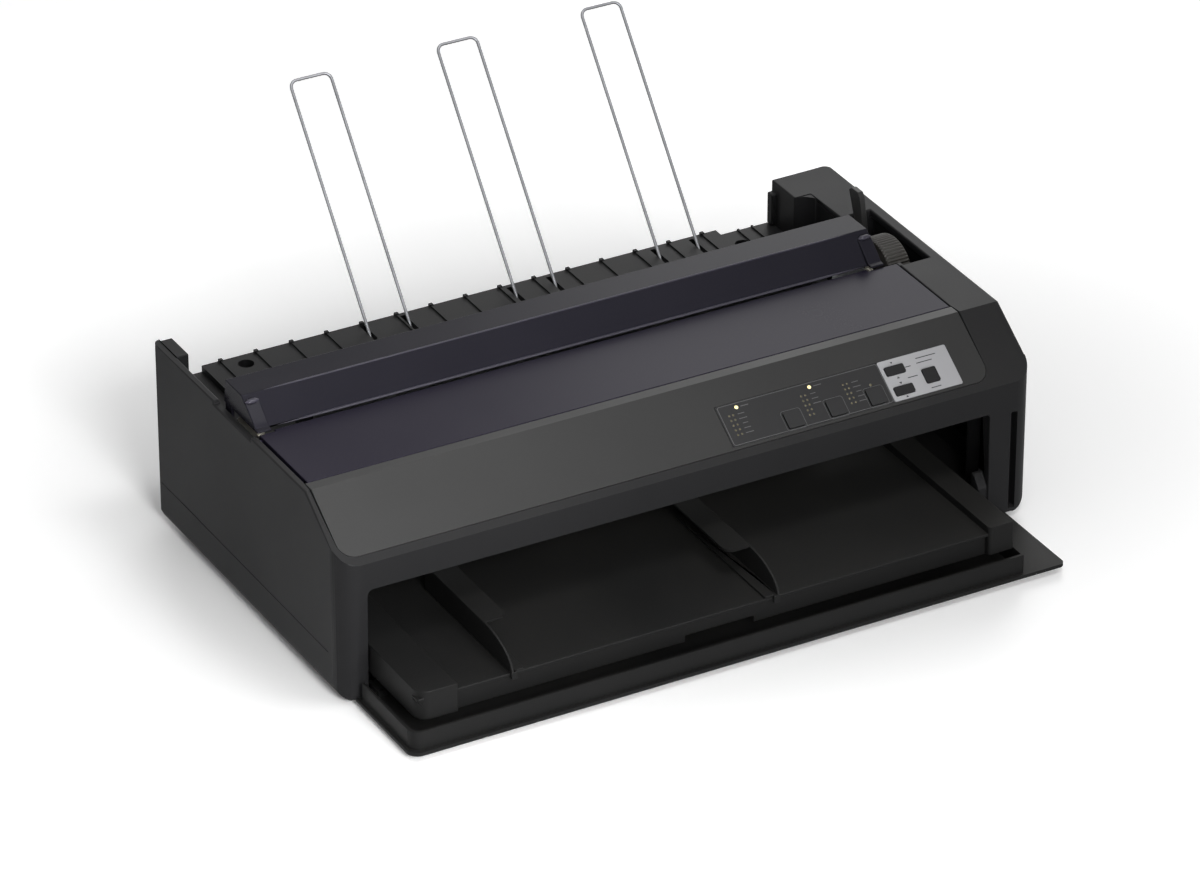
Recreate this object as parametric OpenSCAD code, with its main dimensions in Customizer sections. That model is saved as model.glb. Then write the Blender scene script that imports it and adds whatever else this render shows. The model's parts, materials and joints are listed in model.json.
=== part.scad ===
// Wide-carriage dot matrix printer with hinged covers, rear wire supports and a front sheet guide.
// X runs along the carriage from left to right, Y runs from front to back, Z is up.
// Modules are written from the case's left front bottom corner; place() moves them to the origin,
// which lies on the floor under the middle of the whole printer.

/* [Case] */
// Width of the case
case_w = 610; // [580:1:740]
// Depth of the case
case_d = 320; // [310:1:400]
// Height of the case's flat top above its underside
case_h = 157; // [155:1:190]
// Thickness of the side walls
side_wall = 5.5; // [4.5:0.5:8]
// Thickness of the other case walls
wall = 3; // [2.4:0.2:4]
// Width of the column at the right of the cover
column_w = 37; // [37:1:48]
// Radius of the upright front corners
corner_r = 18; // [12:1:22]
// Height of the edge where the slanted fascia begins
slope_low_z = 117.7; // [114:0.1:124]
// Depth of the edge where the slanted fascia meets the flat top
ridge_y = 58; // [52:1:60]
// Height of the opening under the front band
front_open_h = 94.5; // [90:0.5:98]
// Height of the rubber feet below the case
foot_h = 4; // [3:0.5:8]
// Running gap left between parts that do not touch
gap = 0.4; // [0.3:0.05:0.5]
// Radial running clearance of shafts and pins in their bores
fit = 0.05; // [0.02:0.01:0.09]

/* [Covers] */
// Thickness of the covers' walls
cover_t = 2.5; // [2:0.1:3]
// Depth of the fascia's flat strip behind the ridge
fascia_strip = 10; // [8:1:12]
// Thickness of the fascia panel
fascia_t = 3; // [2.4:0.1:3.4]
// Front edge of the raised sheet guide cover
bar_y = 156; // [155:1:160]
// Height of the sheet guide cover above the flat top
bar_h = 21; // [16:1:26]
// Depth of the sheet guide cover's flat ridge
bar_top = 28; // [22:1:30]
// Radius of the covers' hinge pins
hinge_r = 2; // [1.5:0.1:2.4]

/* [Deck and supports] */
// Depth of the drop from the flat top to the rear deck
deck_drop = 33; // [30:1:40]
// Front edge of the rear deck
deck_y = 222; // [220:1:230]
// Distance between the rear deck's ribs
rib_pitch = 31; // [25:1:38]
// Radius of the wire of the paper supports
wire_r = 1.3; // [1:0.1:1.5]
// Distance between the legs of a wire support
wire_w = 35.7; // [30:0.1:44]
// Length of a wire support from its pivot to its top
wire_len = 221; // [180:1:270]
// Backward lean of the wire supports
wire_lean = 39; // [30:1:45]
// Distance between neighbouring wire supports
wire_pitch = 131.5; // [105:0.5:158]

/* [Print mechanism] */
// Radius of the platen's rubber
platen_r = 20; // [16:0.5:22]
// Radius of the platen's shaft
platen_shaft_r = 5; // [4:0.5:6]
// Radius of the platen knob
knob_r = 31; // [26:1:32]
// Width of the platen knob
knob_w = 22; // [18:1:24]
// Radius of the carriage rod
rod_r = 6; // [5:0.5:7]
// Width of the carriage
carriage_w = 76; // [64:1:92]
// Width of the ribbon cartridge
ribbon_w = 150; // [130:1:160]
// Distance that the carriage travels
carriage_travel = 340; // [280:1:340]
// Module of the paper feed gears
gear_m = 1; // [0.9:0.05:1]
// Thickness of the steel side frames
frame_t = 1.6; // [1.2:0.1:2]

/* [Tractors] */
// Radius of the tractors' two rods
tractor_rod_r = 4; // [3:0.5:5]
// Width of a tractor
tractor_w = 24; // [20:1:30]

/* [Front sheet guide] */
// Height of the guide's platform
platform_z = 40; // [36:1:43]
// Reach of the guide in front of the case
guide_reach = 79; // [66:1:92]
// Height of the side rails above the platform
rail_h = 6; // [4:1:9]
// Height of the edge guides above the platform
fin_h = 22; // [18:1:26]
// Width of the edge guides' upper flange
fin_flange = 21; // [16:1:26]
// Height of the open front cover's rim
flap_h = 19; // [15:1:19]

/* [Control panel] */
// Width of the dark panel that holds the lamps
overlay_w = 145; // [145:1:170]
// Width of the pale selector plate
plate_w = 62; // [58:1:70]
// Height of both plates along the slope
plate_h = 36; // [34:1:42]
// Distance that a button travels
button_travel = 1; // [0.6:0.1:1.4]
// Height of a button above its plate
button_proud = 1.2; // [1:0.1:1.6]

/* [Hidden] */
$fn = 48;

// Colours, as seen on the printer
shell_color = [0.17, 0.17, 0.175];
fascia_color = [0.22, 0.22, 0.225];
smoke_color = [0.21, 0.20, 0.25];
black_color = [0.08, 0.08, 0.085];
steel_color = [0.62, 0.63, 0.65];
wire_color = [0.78, 0.79, 0.80];
plate_color = [0.62, 0.62, 0.63];
rubber_color = [0.06, 0.06, 0.06];
board_color = [0.08, 0.30, 0.16];
white_color = [0.85, 0.85, 0.82];

// The bay under the covers, between the left wall and the right column
bay_x0 = side_wall;
bay_x1 = case_w - column_w;
opening_x0 = side_wall + 16.5;
opening_x1 = bay_x1 - 4;
slope_l = sqrt(pow(ridge_y, 2) + pow(case_h - slope_low_z, 2));
slope_a = atan2(case_h - slope_low_z, ridge_y);
fascia_seat = fascia_t + gap;
cover_y0 = ridge_y + fascia_strip + gap;
cover_y1 = bar_y - 7.5;
cover_x0 = bay_x0 + 2.5;
cover_x1 = bay_x1 - 1;
cover_pivot = [cover_y1 - 2.4, case_h - 4.5];
tab_w = 12;
seam_z = 33.6;
bar_x0 = bay_x0 + 1.5;
bar_x1 = bay_x1 - 12;
bar_ridge_y = bar_y + bar_h;
bar_rear_y = bar_ridge_y + bar_top;
bar_pivot = [bar_rear_y - 2, case_h - 8];

// The rear deck and what stands on it
deck_z = case_h - deck_drop;
deck_low_z = deck_z - 5.5;
deck_t = 3;
deck_x0 = side_wall + 11;
tower_x = bay_x1 - 16;
deck_panel_x0 = deck_x0 + 25;
deck_panel_x1 = tower_x - 52;
rear_block_x = side_wall + 11;
rear_block_y = case_d - 31;
tower_y = case_d - 36;
tower_notch_x = bay_x1 + 1;
pocket_y0 = bar_y - 10.5;
pocket_y1 = case_d - 83;
pocket_x1 = case_w - 9.5;
wire_pivot = [case_d - 23, deck_z - 9];
wire_mid_x = bay_x1 - 243;
well_r = 6.5;

// The steel frames and the mechanism that they carry
frame_x0 = side_wall + 16.5;
frame_x1 = bay_x1 - 9.6;
pan_z = 4;
pan_y0 = 112;
platen_c = [bar_y + 22, case_h - 24];
frame_rear_z = deck_z - 26;
platen_x0 = frame_x0 + 40;
platen_x1 = frame_x1 - 55;
knob_x = bay_x1 - 5;
bush_wall = 2;
rod_c = [platen_c[0] - 60, case_h - 67];
head_w = 34;
carriage_x = frame_x0 + 16 + ribbon_w / 2;
rail_z = 66;
belt_z0 = rail_z + 7;
belt_h = 6;
belt_t = 1.2;
belt_y = rod_c[0] - 34;
pulley_r = 8;
idler_x = frame_x0 + 24;
motor_x = frame_x1 - 30;
motor_r = 18;

// The paper feed gears: the platen's, the reduction gear and the motor's pinion
platen_teeth = 44;
reduction_teeth = 30;
pinion_teeth = 12;
gear_slack = 0.12;
gear_x0 = frame_x0 - 9;
gear_w = 6;
reduction_dir = 240;
pinion_dir = 270;
reduction_dist = gear_m * (platen_teeth + reduction_teeth) / 2 + gear_slack;
pinion_dist = gear_m * (reduction_teeth + pinion_teeth) / 2 + gear_slack;
reduction_c = [platen_c[0] + reduction_dist * cos(reduction_dir),
               platen_c[1] + reduction_dist * sin(reduction_dir)];
pinion_c = [reduction_c[0] + pinion_dist * cos(pinion_dir),
            reduction_c[1] + pinion_dist * sin(pinion_dir)];
reduction_turn = mesh_turn(0, platen_teeth, reduction_dir, reduction_teeth);
pinion_turn = mesh_turn(reduction_turn, reduction_teeth, pinion_dir, pinion_teeth);

// The tractors at the rear
tractor_z = deck_z - 57;
tractor_front_y = 240;
tractor_rear_y = 280;
tractor_top = 12;
tractor_left_x = frame_x0 + 60;
tractor_right_x = frame_x1 - 100;
flap_t = 2.5;

// The front sheet guide and the open front cover
guide_x0 = opening_x0 + 1;
guide_x1 = bay_x1 - 28;
guide_y1 = 104;
platform_t = 2.5;
left_post_w = 33;
right_post_w = 24;
post_z0 = flap_h + 2.5;
flap_y0 = -guide_reach - 13;
flap_recess_y = -guide_reach - 6.5;
flap_y1 = -gap;
flap_x0 = side_wall + 4.5;
flap_x1 = bay_x1 + 11;
flap_floor = 3.5;
flap_rim = 2.5;
flap_pivot = [6, 6];
left_fin_x = guide_x0 + 78;
right_fin_x = left_fin_x + 232;
fin_t = 2;
fin_y1 = 60;
fin_nose = 45;

// The control panel, measured along the slope from its lower edge
panel_s = 10.8;
plate_t = 0.8;
plate_x1 = bay_x1 - 24;
plate_x0 = plate_x1 - plate_w;
overlay_x0 = plate_x0 - overlay_w;
soft_key_w = 14;
soft_key_s = panel_s + 9;
soft_key_x = [plate_x0 - 87, plate_x0 - 49, plate_x0 - 13];
bar_key = [17, 7.5];
square_key = [12, 12.5];
key_in = 6;
key_lip = 1.4;
board_drop = 9.5;

// Points of an arc about c, from angle a0 to a1 in n steps
function arc(c, r, a0, a1, n = 8) =
    [for (i = [0:n]) [c[0] + r * cos(a0 + (a1 - a0) * i / n), c[1] + r * sin(a0 + (a1 - a0) * i / n)]];

// Turn of a gear with teeth_b teeth that lies in direction dir from a gear turned by turn_a
function mesh_turn(turn_a, teeth_a, dir, teeth_b) =
    dir + 180 + 180 / teeth_b + (dir - turn_a) * teeth_a / teeth_b;

// Half the angle that a tooth spans at radius r, thinned by the backlash
function tooth_half(teeth, m, r) =
    let (pitch_r = teeth * m / 2, base_r = pitch_r * cos(20), rr = max(r, base_r),
         roll = acos(min(1, base_r / rr)), roll_p = 20,
         inv = tan(roll) * 180 / PI - roll, inv_p = tan(roll_p) * 180 / PI - roll_p,
         backlash = 0.09 / pitch_r * 180 / PI)
    90 / teeth + inv_p - inv - backlash;

// Outline of an involute gear whose first tooth points along X
function gear_points(teeth, m) =
    let (tip = teeth * m / 2 + 0.95 * m, root = teeth * m / 2 - 1.2 * m, steps = 4)
    [for (t = [0:teeth - 1], side = [-1, 1], i = [0:steps])
        let (k = side < 0 ? i : steps - i, r = root + (tip - root) * k / steps,
             a = 360 * t / teeth + side * tooth_half(teeth, m, r))
        [r * cos(a), r * sin(a)]];

// Moves a part from the case's corner to the printer's own origin
module place() {
    top_y = wire_pivot[0] + (wire_len + wire_r) * sin(wire_lean);
    mid_y = (top_y + wire_r * (1 - sin(wire_lean)) + flap_y0) / 2;
    translate([-case_w / 2, -mid_y, foot_h]) children();
}

// A block between two values along each axis
module block(x, y, z) {
    translate([x[0], y[0], z[0]]) cube([x[1] - x[0], y[1] - y[0], z[1] - z[0]]);
}

// A cylinder along X at c = [y, z]
module rod_x(x, c, r) {
    translate([x[0], c[0], c[1]]) rotate([0, 90, 0]) cylinder(h = x[1] - x[0], r = r);
}

// A cylinder along Y at c = [x, z]
module rod_y(y, c, r) {
    translate([c[0], y[0], c[1]]) rotate([-90, 0, 0]) cylinder(h = y[1] - y[0], r = r);
}

// A cylinder along Z at c = [x, y]
module rod_z(z, c, r) {
    translate([c[0], c[1], z[0]]) cylinder(h = z[1] - z[0], r = r);
}

// An outline in Y and Z, extruded along X
module prism_x(x, points) {
    translate([x[0], 0, 0]) rotate([90, 0, 90]) linear_extrude(x[1] - x[0]) polygon(points);
}

// A rounded rectangle from its lower left corner
module round_rect(w, h, r) {
    translate([r, 0]) square([w - 2 * r, h]);
    translate([0, r]) square([w, h - 2 * r]);
    for (x = [r, w - r], y = [r, h - r]) translate([x, y]) circle(r);
}

// Children drawn on the slanted fascia: X along it, Y up the slope, Z out of the surface
module on_slope() {
    translate([0, 0, slope_low_z]) rotate([slope_a, 0, 0]) children();
}

// ---- Case ----

// Side outline of the case, drawn in by d from its outer surface
function case_side(d) =
    let (low = slope_low_z - d * (1 - sin(slope_a)) / cos(slope_a))
    concat([[d, -1], [d, low], ridge_point(d), [case_d - d, case_h - d]],
           d > 0 ? [[case_d - d, -1]] : arc([case_d - 20, 20], 20, 0, -75, 6),
           d > 0 ? [] : [[case_d - 24, -1]]);

module case_outer() {
    intersection() {
        linear_extrude(case_h) {
            round_rect(case_w, case_d / 2, corner_r);
            translate([0, case_d / 4]) round_rect(case_w, case_d * 3 / 4, 6);
        }
        prism_x([0, case_w], case_side(0));
        translate([0, case_d, 0]) rotate([90, 0, 0]) linear_extrude(case_d) {
            polygon(concat(arc([9, 9], 9, 180, 270, 6), arc([case_w - 18, 18], 18, 270, 360, 9),
                           [[case_w, case_h + 1], [0, case_h + 1]]));
        }
    }
}

module upper_case() {
    color(shell_color) place() {
        case_shell();
        // Bracket at the foot of the right post
        prism_x([opening_x1 - 8, opening_x1 + 1], [[1, 14], [13, 14], [13, 38], [9, 38], [1, 28]]);
    }
}

module case_shell() {
    tower_wall = 3;
    top_z = case_h - wall - fascia_seat;
    difference() {
        intersection() {
            case_outer();
            union() {
                difference() {
                    block([0, case_w], [0, case_d], [0, case_h]);
                    // Hollow inside and open floor
                    intersection() {
                        block([side_wall, case_w - side_wall], [wall, case_d - wall], [-2, case_h + 1]);
                        prism_x([side_wall, case_w - side_wall], case_side(wall + fascia_seat));
                    }
                    block([side_wall, case_w - side_wall], [wall, case_d - wall], [-2, slope_low_z - 12]);
                    // Open bay under the covers, with a step that the printer cover's front edge rests on
                    block([bay_x0, bay_x1], [cover_y0 + 6, case_d - wall], [top_z - 30, case_h + 1]);
                    block([bay_x0, bay_x1], [cover_y0 - gap, case_d], [case_h - fascia_seat, case_h + 1]);
                    // Open back of the bay, above the rear deck's edge and at the paper entry
                    block([rear_block_x, tower_x], [case_d - 10, case_d + 1],
                          [deck_low_z - 10, case_h + 1]);
                    block([opening_x0 + 10, tower_x - 6], [case_d - 10, case_d + 1], [-2, deck_low_z + 1]);
                    // Top of the column behind the printer cover
                    block([bay_x1 - 1, pocket_x1], [pocket_y0, pocket_y1], [case_h - 60, case_h + 1]);
                }
                // Inner face of the column
                block([bay_x1, bay_x1 + wall], [wall, pocket_y0 + 1], [96, case_h - wall]);
                block([bay_x1, bay_x1 + wall], [wall, 40], [wall + 1.2, 112]);
                // Ear for the printer cover's pin, and the floor of the knob's pocket
                block([bay_x1, bay_x1 + wall], [pocket_y0 - 6, cover_pivot[0] + 3.9],
                      [cover_pivot[1] - 4, case_h - 0.5]);
                block([bay_x1, case_w - side_wall + 1], [pocket_y0 - wall, pocket_y1 + wall], [92, 95]);
                block([bay_x1, case_w - side_wall + 1], [pocket_y0 - wall, pocket_y0], [92, case_h - wall]);
                // Posts beside the front opening
                block([opening_x1, case_w - side_wall + 1], [0, 14], [0, slope_low_z - 12]);
                block([side_wall - 1, opening_x0], [0, 14], [0, slope_low_z - 12]);
                // Block at the top of the left rear corner
                block([side_wall - 1, rear_block_x], [rear_block_y, case_d - 1],
                      [deck_low_z - 3, case_h - 0.5]);
                // Tower behind the pocket: walls, roof and the step at its left
                block([tower_x, tower_x + tower_wall], [tower_y, case_d - 1],
                      [deck_low_z - 3, case_h - 0.5]);
                block([tower_x, tower_notch_x + tower_wall], [tower_y, tower_y + tower_wall],
                      [deck_low_z - 3, case_h - 0.5]);
                block([tower_notch_x, tower_notch_x + tower_wall], [pocket_y1, tower_y + 1],
                      [deck_low_z - 3, case_h - 0.5]);
                block([tower_notch_x, case_w - side_wall + 1], [pocket_y1, pocket_y1 + tower_wall],
                      [92, case_h - 0.5]);
                block([tower_notch_x, case_w - side_wall + 1], [pocket_y1, case_d - 1],
                      [case_h - wall, case_h]);
                block([tower_x, case_w - side_wall + 1], [tower_y, case_d], [case_h - wall, case_h]);
                block([tower_x - 4, tower_x + 1], [case_d - 8, case_d], [deck_low_z + gap, case_h - 10]);
                tower_fillet();
            }
        }
        // Seat of the fascia, open towards the covers
        fascia_form([slope_point(4, fascia_seat), ridge_point(fascia_seat),
                     [cover_y0 + 0.5, case_h - fascia_seat], [cover_y0 + 0.5, case_h + 9],
                     [10, case_h + 9], slope_point(4, -9)], gap);
        // Window behind the control panel
        on_slope() translate([overlay_x0 - 3, panel_s - 2, -20])
            cube([overlay_w + plate_w + 6, plate_h + 6, 30]);
        // Front opening and the upright groove beside it
        translate([0, 20, 0]) rotate([90, 0, 0]) linear_extrude(21)
            polygon(concat([[opening_x0, -2], [opening_x1, -2]],
                           arc([opening_x1 - 3, front_open_h - 3], 3, 0, 90, 4),
                           arc([opening_x0 + 5, front_open_h - 5], 5, 90, 180, 5)));
        block([case_w - 21, case_w - 15.5], [-1, 9], [3, front_open_h - 4]);
        // Seam along the side walls, and the dip of the left wall beside the sheet guide cover
        for (x = [-1, case_w - 0.6]) block([x, x + 1.6], [24, case_d - 8], [seam_z, seam_z + 0.8]);
        block([-1, side_wall + 1], [cover_y1 + 0.5, deck_y - 9], [case_h - 3, case_h + 1]);
        // Grip under each side, and the screw posts' and hinge pins' holes
        for (x = [-1, case_w - side_wall - 1]) {
            block([x, x + side_wall + 2], [124, 196], [-2, 4]);
        }
        rod_x([side_wall - 2.6, side_wall + 1], cover_pivot, hinge_r + fit);
        rod_x([bay_x1 - 1, bay_x1 + 2.2], cover_pivot, hinge_r + fit);
        rod_x([side_wall - 2.6, side_wall + 1], bar_pivot, hinge_r + fit);
    }
}

// Rounded inner corner where the tower's left wall turns into its inner wall
module tower_fillet() {
    r = tower_notch_x - tower_x - 1;
    difference() {
        block([tower_notch_x - r, tower_notch_x + 1], [tower_y - r, tower_y + 1],
              [deck_low_z - 3, case_h - 0.5]);
        rod_z([deck_low_z - 4, case_h + 1], [tower_notch_x - r, tower_y - r], r);
    }
}

// A point s up the slope and t below its surface
function slope_point(s, t) =
    [s * cos(slope_a) + t * sin(slope_a), slope_low_z + s * sin(slope_a) - t * cos(slope_a)];

// The ridge where the slope and the flat top meet, both drawn in by t
function ridge_point(t) = [ridge_y + t * (1 - cos(slope_a)) / sin(slope_a), case_h - t];

// Outline of the fascia, c larger all round: square above, rounded at its two lower corners
module fascia_outline(c) {
    r = 13.6 + c;
    w = bay_x1 - bay_x0 + 0.2 + 2 * c;
    translate([bay_x0 - 0.1 - c, 7.9 - c]) {
        translate([0, r]) square([w, 100]);
        translate([r, 0]) square([w - 2 * r, 50]);
        for (x = [r, w - r]) translate([x, r]) circle(r);
    }
}

// A side profile, extruded along the case and cut to the fascia's outline
module fascia_form(points, c) {
    intersection() {
        prism_x([0, case_w], points);
        on_slope() translate([0, 0, -40]) linear_extrude(80) fascia_outline(c);
    }
}

module fascia_panel() {
    strip_y = ridge_y + fascia_strip;
    color(fascia_color) place() difference() {
        fascia_form([slope_point(4, 0), [ridge_y, case_h], [strip_y, case_h], [strip_y, case_h - fascia_t],
                     ridge_point(fascia_t), slope_point(4, fascia_t)], 0);
        // Shallow beds of the two plates, and the holes that the keys pass through
        on_slope() translate([overlay_x0, panel_s, -plate_t])
            cube([overlay_w + plate_w, plate_h, fascia_t + 1]);
        key_shafts(gap);
    }
}

// Every key's stem, widened by c, from below the fascia to above it
module key_shafts(c) {
    on_slope() {
        for (x = soft_key_x) key_stem(x, soft_key_s, [soft_key_w, soft_key_w], c);
        key_stem(plate_x0 + 12, panel_s + 26, bar_key, c);
        key_stem(plate_x0 + 12, panel_s + 8, bar_key, c);
        key_stem(plate_x0 + 39, panel_s + 14, square_key, c);
    }
}

module key_stem(x, s, size, c) {
    translate([x - size[0] / 2 - c, s - size[1] / 2 - c, -20]) linear_extrude(40)
        round_rect(size[0] + 2 * c, size[1] + 2 * c, 1.2 + c);
}

module lamp_points(c) {
    lamp_r = 0.9;
    on_slope() {
        // Two bright lamps
        for (x = [overlay_x0 + 17.5, overlay_x0 + 82.5])
            translate([x, panel_s + 31.5, -plate_t]) cylinder(h = plate_t + 0.3, r = 1.5 + c);
        // Three double columns of small lamps
        for (x = [overlay_x0 + 8.5, overlay_x0 + 72.5, overlay_x0 + 110], row = [0:4], side = [0, 3.6])
            translate([x + side, panel_s + 9 + row * 4.2, -plate_t])
                cylinder(h = plate_t + 0.2, r = lamp_r + c);
        // One lamp above the third key
        translate([soft_key_x[2], soft_key_s + 10.5, -plate_t]) cylinder(h = plate_t + 0.2, r = 1.2 + c);
    }
}

module control_overlay() {
    color(black_color) place() difference() {
        on_slope() translate([overlay_x0 + 0.1, panel_s + 0.1, -plate_t])
            linear_extrude(plate_t) round_rect(overlay_w - 0.2, plate_h - 0.2, 1.5);
        key_shafts(gap);
        lamp_points(0.1);
    }
}

module selector_plate() {
    color(plate_color) place() difference() {
        on_slope() translate([plate_x0 + 0.1, panel_s + 0.1, -plate_t])
            linear_extrude(plate_t) round_rect(plate_w - 0.2, plate_h - 0.2, 1.5);
        key_shafts(gap);
    }
}

module lamp_lenses() {
    color([0.95, 0.9, 0.6]) place() lamp_points(0);
}

// A key with its cap, its stem and the lip that keeps it behind the fascia
module key(x, s, size) {
    on_slope() translate([x - size[0] / 2, s - size[1] / 2, 0]) {
        translate([0, 0, -key_in]) linear_extrude(key_in + button_proud)
            round_rect(size[0], size[1], 1.2);
        translate([-key_lip, -key_lip, -key_in]) linear_extrude(key_in - fascia_t - gap)
            round_rect(size[0] + 2 * key_lip, size[1] + 2 * key_lip, 2);
    }
}

module button_one() {
    color(black_color) place() key(soft_key_x[0], soft_key_s, [soft_key_w, soft_key_w]);
}

module button_two() {
    color(black_color) place() key(soft_key_x[1], soft_key_s, [soft_key_w, soft_key_w]);
}

module button_three() {
    color(black_color) place() key(soft_key_x[2], soft_key_s, [soft_key_w, soft_key_w]);
}

module selector_key_upper() {
    color(black_color) place() key(plate_x0 + 12, panel_s + 26, bar_key);
}

module selector_key_lower() {
    color(black_color) place() key(plate_x0 + 12, panel_s + 8, bar_key);
}

module selector_key_square() {
    color(black_color) place() key(plate_x0 + 39, panel_s + 14, square_key);
}

// Board behind the keys, on pillars that stand on the fascia's inner face
module button_board() {
    board_x0 = overlay_x0 - 2;
    board_x1 = plate_x1 + 2;
    color(board_color) place() on_slope() {
        translate([board_x0, panel_s - 1, -board_drop]) cube([board_x1 - board_x0, plate_h + 4, 1.6]);
        for (x = [board_x0 + 3, board_x1 - 3], s = [panel_s + 2, panel_s + plate_h])
            translate([x, s, -board_drop + 1]) cylinder(h = board_drop - 1 - fascia_t, r = 2);
    }
}

module lower_case() {
    sockets = [case_d - 30, case_d - 18];
    floor_x0 = side_wall + gap;
    floor_x1 = case_w - side_wall - gap;
    back_x0 = opening_x0 + 10 + gap;
    back_x1 = tower_x - 6 - gap;
    back_h = 48;
    color(shell_color) place() difference() {
        union() {
            intersection() {
                case_outer();
                union() {
                    block([floor_x0, floor_x1], [flap_pivot[0] + 9, case_d - 26], [0, wall]);
                    // Low side walls inside the case's
                    for (x = [floor_x0, floor_x1 - wall])
                        block([x, x + wall], [30, case_d - 30], [0, 22]);
                }
            }
            block([back_x0, back_x1], [case_d - 27, case_d - wall], [0, wall]);
            // Rear wall
            block([back_x0, back_x1], [case_d - 21 - wall, case_d - 21], [0, back_h]);
            block([back_x0, back_x1], [case_d - 22 - wall, case_d - 1], [back_h - wall, back_h]);
            // Stiffening ribs of the floor
            for (x = [100:100:case_w - 60]) block([x, x + wall], [24, pan_y0 - 12], [0, 7]);
            // Stands of the front sheet guide
            for (x = [guide_x0 + 8, guide_x1 - 14])
                block([x, x + 6], [flap_pivot[0] + 14, guide_y1 - 8], [0, platform_z - 4 - gap]);
            // Brackets and pins of the front cover's hinge
            for (x = hinge_places()) {
                block([x + lug_w + gap, x + lug_w + 5], [flap_pivot[0] - 5, flap_pivot[0] + 12],
                      [0, flap_pivot[1] + 4]);
                rod_x([x + 1, x + lug_w + 2], flap_pivot, 1.6);
            }
            // Bosses under the rubber feet and the floor screws
            for (p = foot_places()) rod_z([0, wall + 0.6], p, 13);
        }
        for (p = foot_places()) rod_z([-1, 1], p, foot_r + gap / 2);
        for (p = screw_places()) rod_z([-1, 10], p, 2.2);
        for (p = screw_places()) rod_z([-1, 1.5], p, 4.6);
        // Cut-outs for the sockets
        block([port_x - 3, port_x + 66], sockets, [14, 36]);
        block([inlet_x - 0.3, inlet_x + 48.3], sockets, [10, 38]);
        // Cooling slots
        for (x = [0:7])
            block([inlet_x - 90 + 8 * x, inlet_x - 86 + 8 * x], sockets, [14, 38]);
    }
}

foot_r = 9;
lug_w = 8;
function hinge_places() = [opening_x0 + 3, opening_x1 - 9 - lug_w];
function foot_places() =
    [for (x = [34, case_w - 34], y = [36, case_d - 48]) [x, y]];
function screw_places() =
    [for (x = [60, case_w - 66], y = [90, case_d - 60]) [x, y]];
port_x = opening_x0 + 60;
inlet_x = tower_x - 80;

module rubber_feet() {
    color(rubber_color) place() for (p = foot_places()) {
        rod_z([-foot_h, 1], p, foot_r);
    }
}

module case_screws() {
    color(steel_color) place() {
        for (p = screw_places()) {
            rod_z([0.2, 1.5], p, 3.8);
            rod_z([1, pan_z], p, 2);
        }
    }
}

// ---- Rear deck ----

// Top of the deck: a ramp down towards the platen, then flat to the rear edge
function deck_top(z) = [[deck_y, z - 14], [deck_y + 8, z - 9], [deck_y + 22, z - 2], [deck_y + 32, z]];

module rear_deck() {
    low = deck_low_z;
    well_at = [[deck_panel_x0 + 32, case_d - 14], [deck_panel_x1 + 13, case_d - 22]];
    color(shell_color) place() difference() {
        union() {
            // Lower plate across the whole bay, and its lip at the rear
            prism_x([deck_x0 + gap, tower_x - gap],
                    concat(deck_top(low), [[case_d, low], [case_d, low - 9], [case_d - 2.5, low - 9],
                    [case_d - 2.5, low - deck_t], [deck_y + 33, low - deck_t], [deck_y + 10, low - 12],
                    [deck_y, low - 17]]));
            // Raised panel between the wire supports' ends
            prism_x([deck_panel_x0, deck_panel_x1],
                    concat(deck_top(deck_z), [[case_d, deck_z], [case_d, low - 1], [deck_y + 32, low - 1],
                    [deck_y + 10, low - 10], [deck_y, low - 15]]));
            // Ribs across the panel and the lower ends
            for (x = [deck_panel_x0 + 15:rib_pitch:deck_panel_x1 - 8])
            {
                block([x, x + 1.6], [deck_y + 33, case_d], [low, deck_z + 1.4]);
                block([x - 0.8, x + 2.4], [case_d - 3, case_d], [low, deck_z + 2.2]);
            }
            for (x = [deck_x0 + 10, deck_panel_x1 + 20, deck_panel_x1 + 33])
                block([x, x + 1.6], [deck_y + 33, case_d], [low - 1, low + 1.4]);
            for (p = well_at) rod_z([low - 12, low], p, well_r + 2);
            // Bearings of the wire supports, under the panel
            for (i = [-1:1]) wire_bearings(wire_mid_x + i * wire_pitch);
            // Feet that carry the deck on the side frames' flanges
            for (x = [frame_x0 + frame_t + 4, tower_x - 8])
                block([x, x + 3], [deck_y + 40, case_d - 34], [frame_rear_z + gap, low - 1]);
        }
        for (p = well_at) rod_z([low - 10, deck_z + 3], p, well_r);
        for (p = well_at) rod_z([low - 13, low], p, 2.2);
        // Slots that the legs of the wire supports rise through, and the bores of their pivots
        for (i = [-1:1], side = [-1, 1])
            wire_slot(wire_mid_x + i * wire_pitch + side * wire_w / 2);
        for (i = [-1:1])
            rod_x([wire_mid_x + i * wire_pitch - wire_w / 2, wire_mid_x + i * wire_pitch + wire_w / 2],
                  wire_pivot, wire_r + fit);
    }
}

module wire_bearings(x) {
    for (side = [-1, 1])
        translate([x + side * (wire_w / 2 - 4.5) - 1.75, 0, 0])
            block([0, 3.5], [wire_pivot[0] - 5, wire_pivot[0] + 5], [wire_pivot[1] - 4, deck_z - 2]);
}

module wire_slot(x) {
    slot_w = 2 * wire_r + 1.4;
    block([x - slot_w / 2, x + slot_w / 2], [wire_pivot[0] - 6, wire_pivot[0] + 19],
          [wire_pivot[1] - 6, deck_z + 3]);
}

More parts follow.
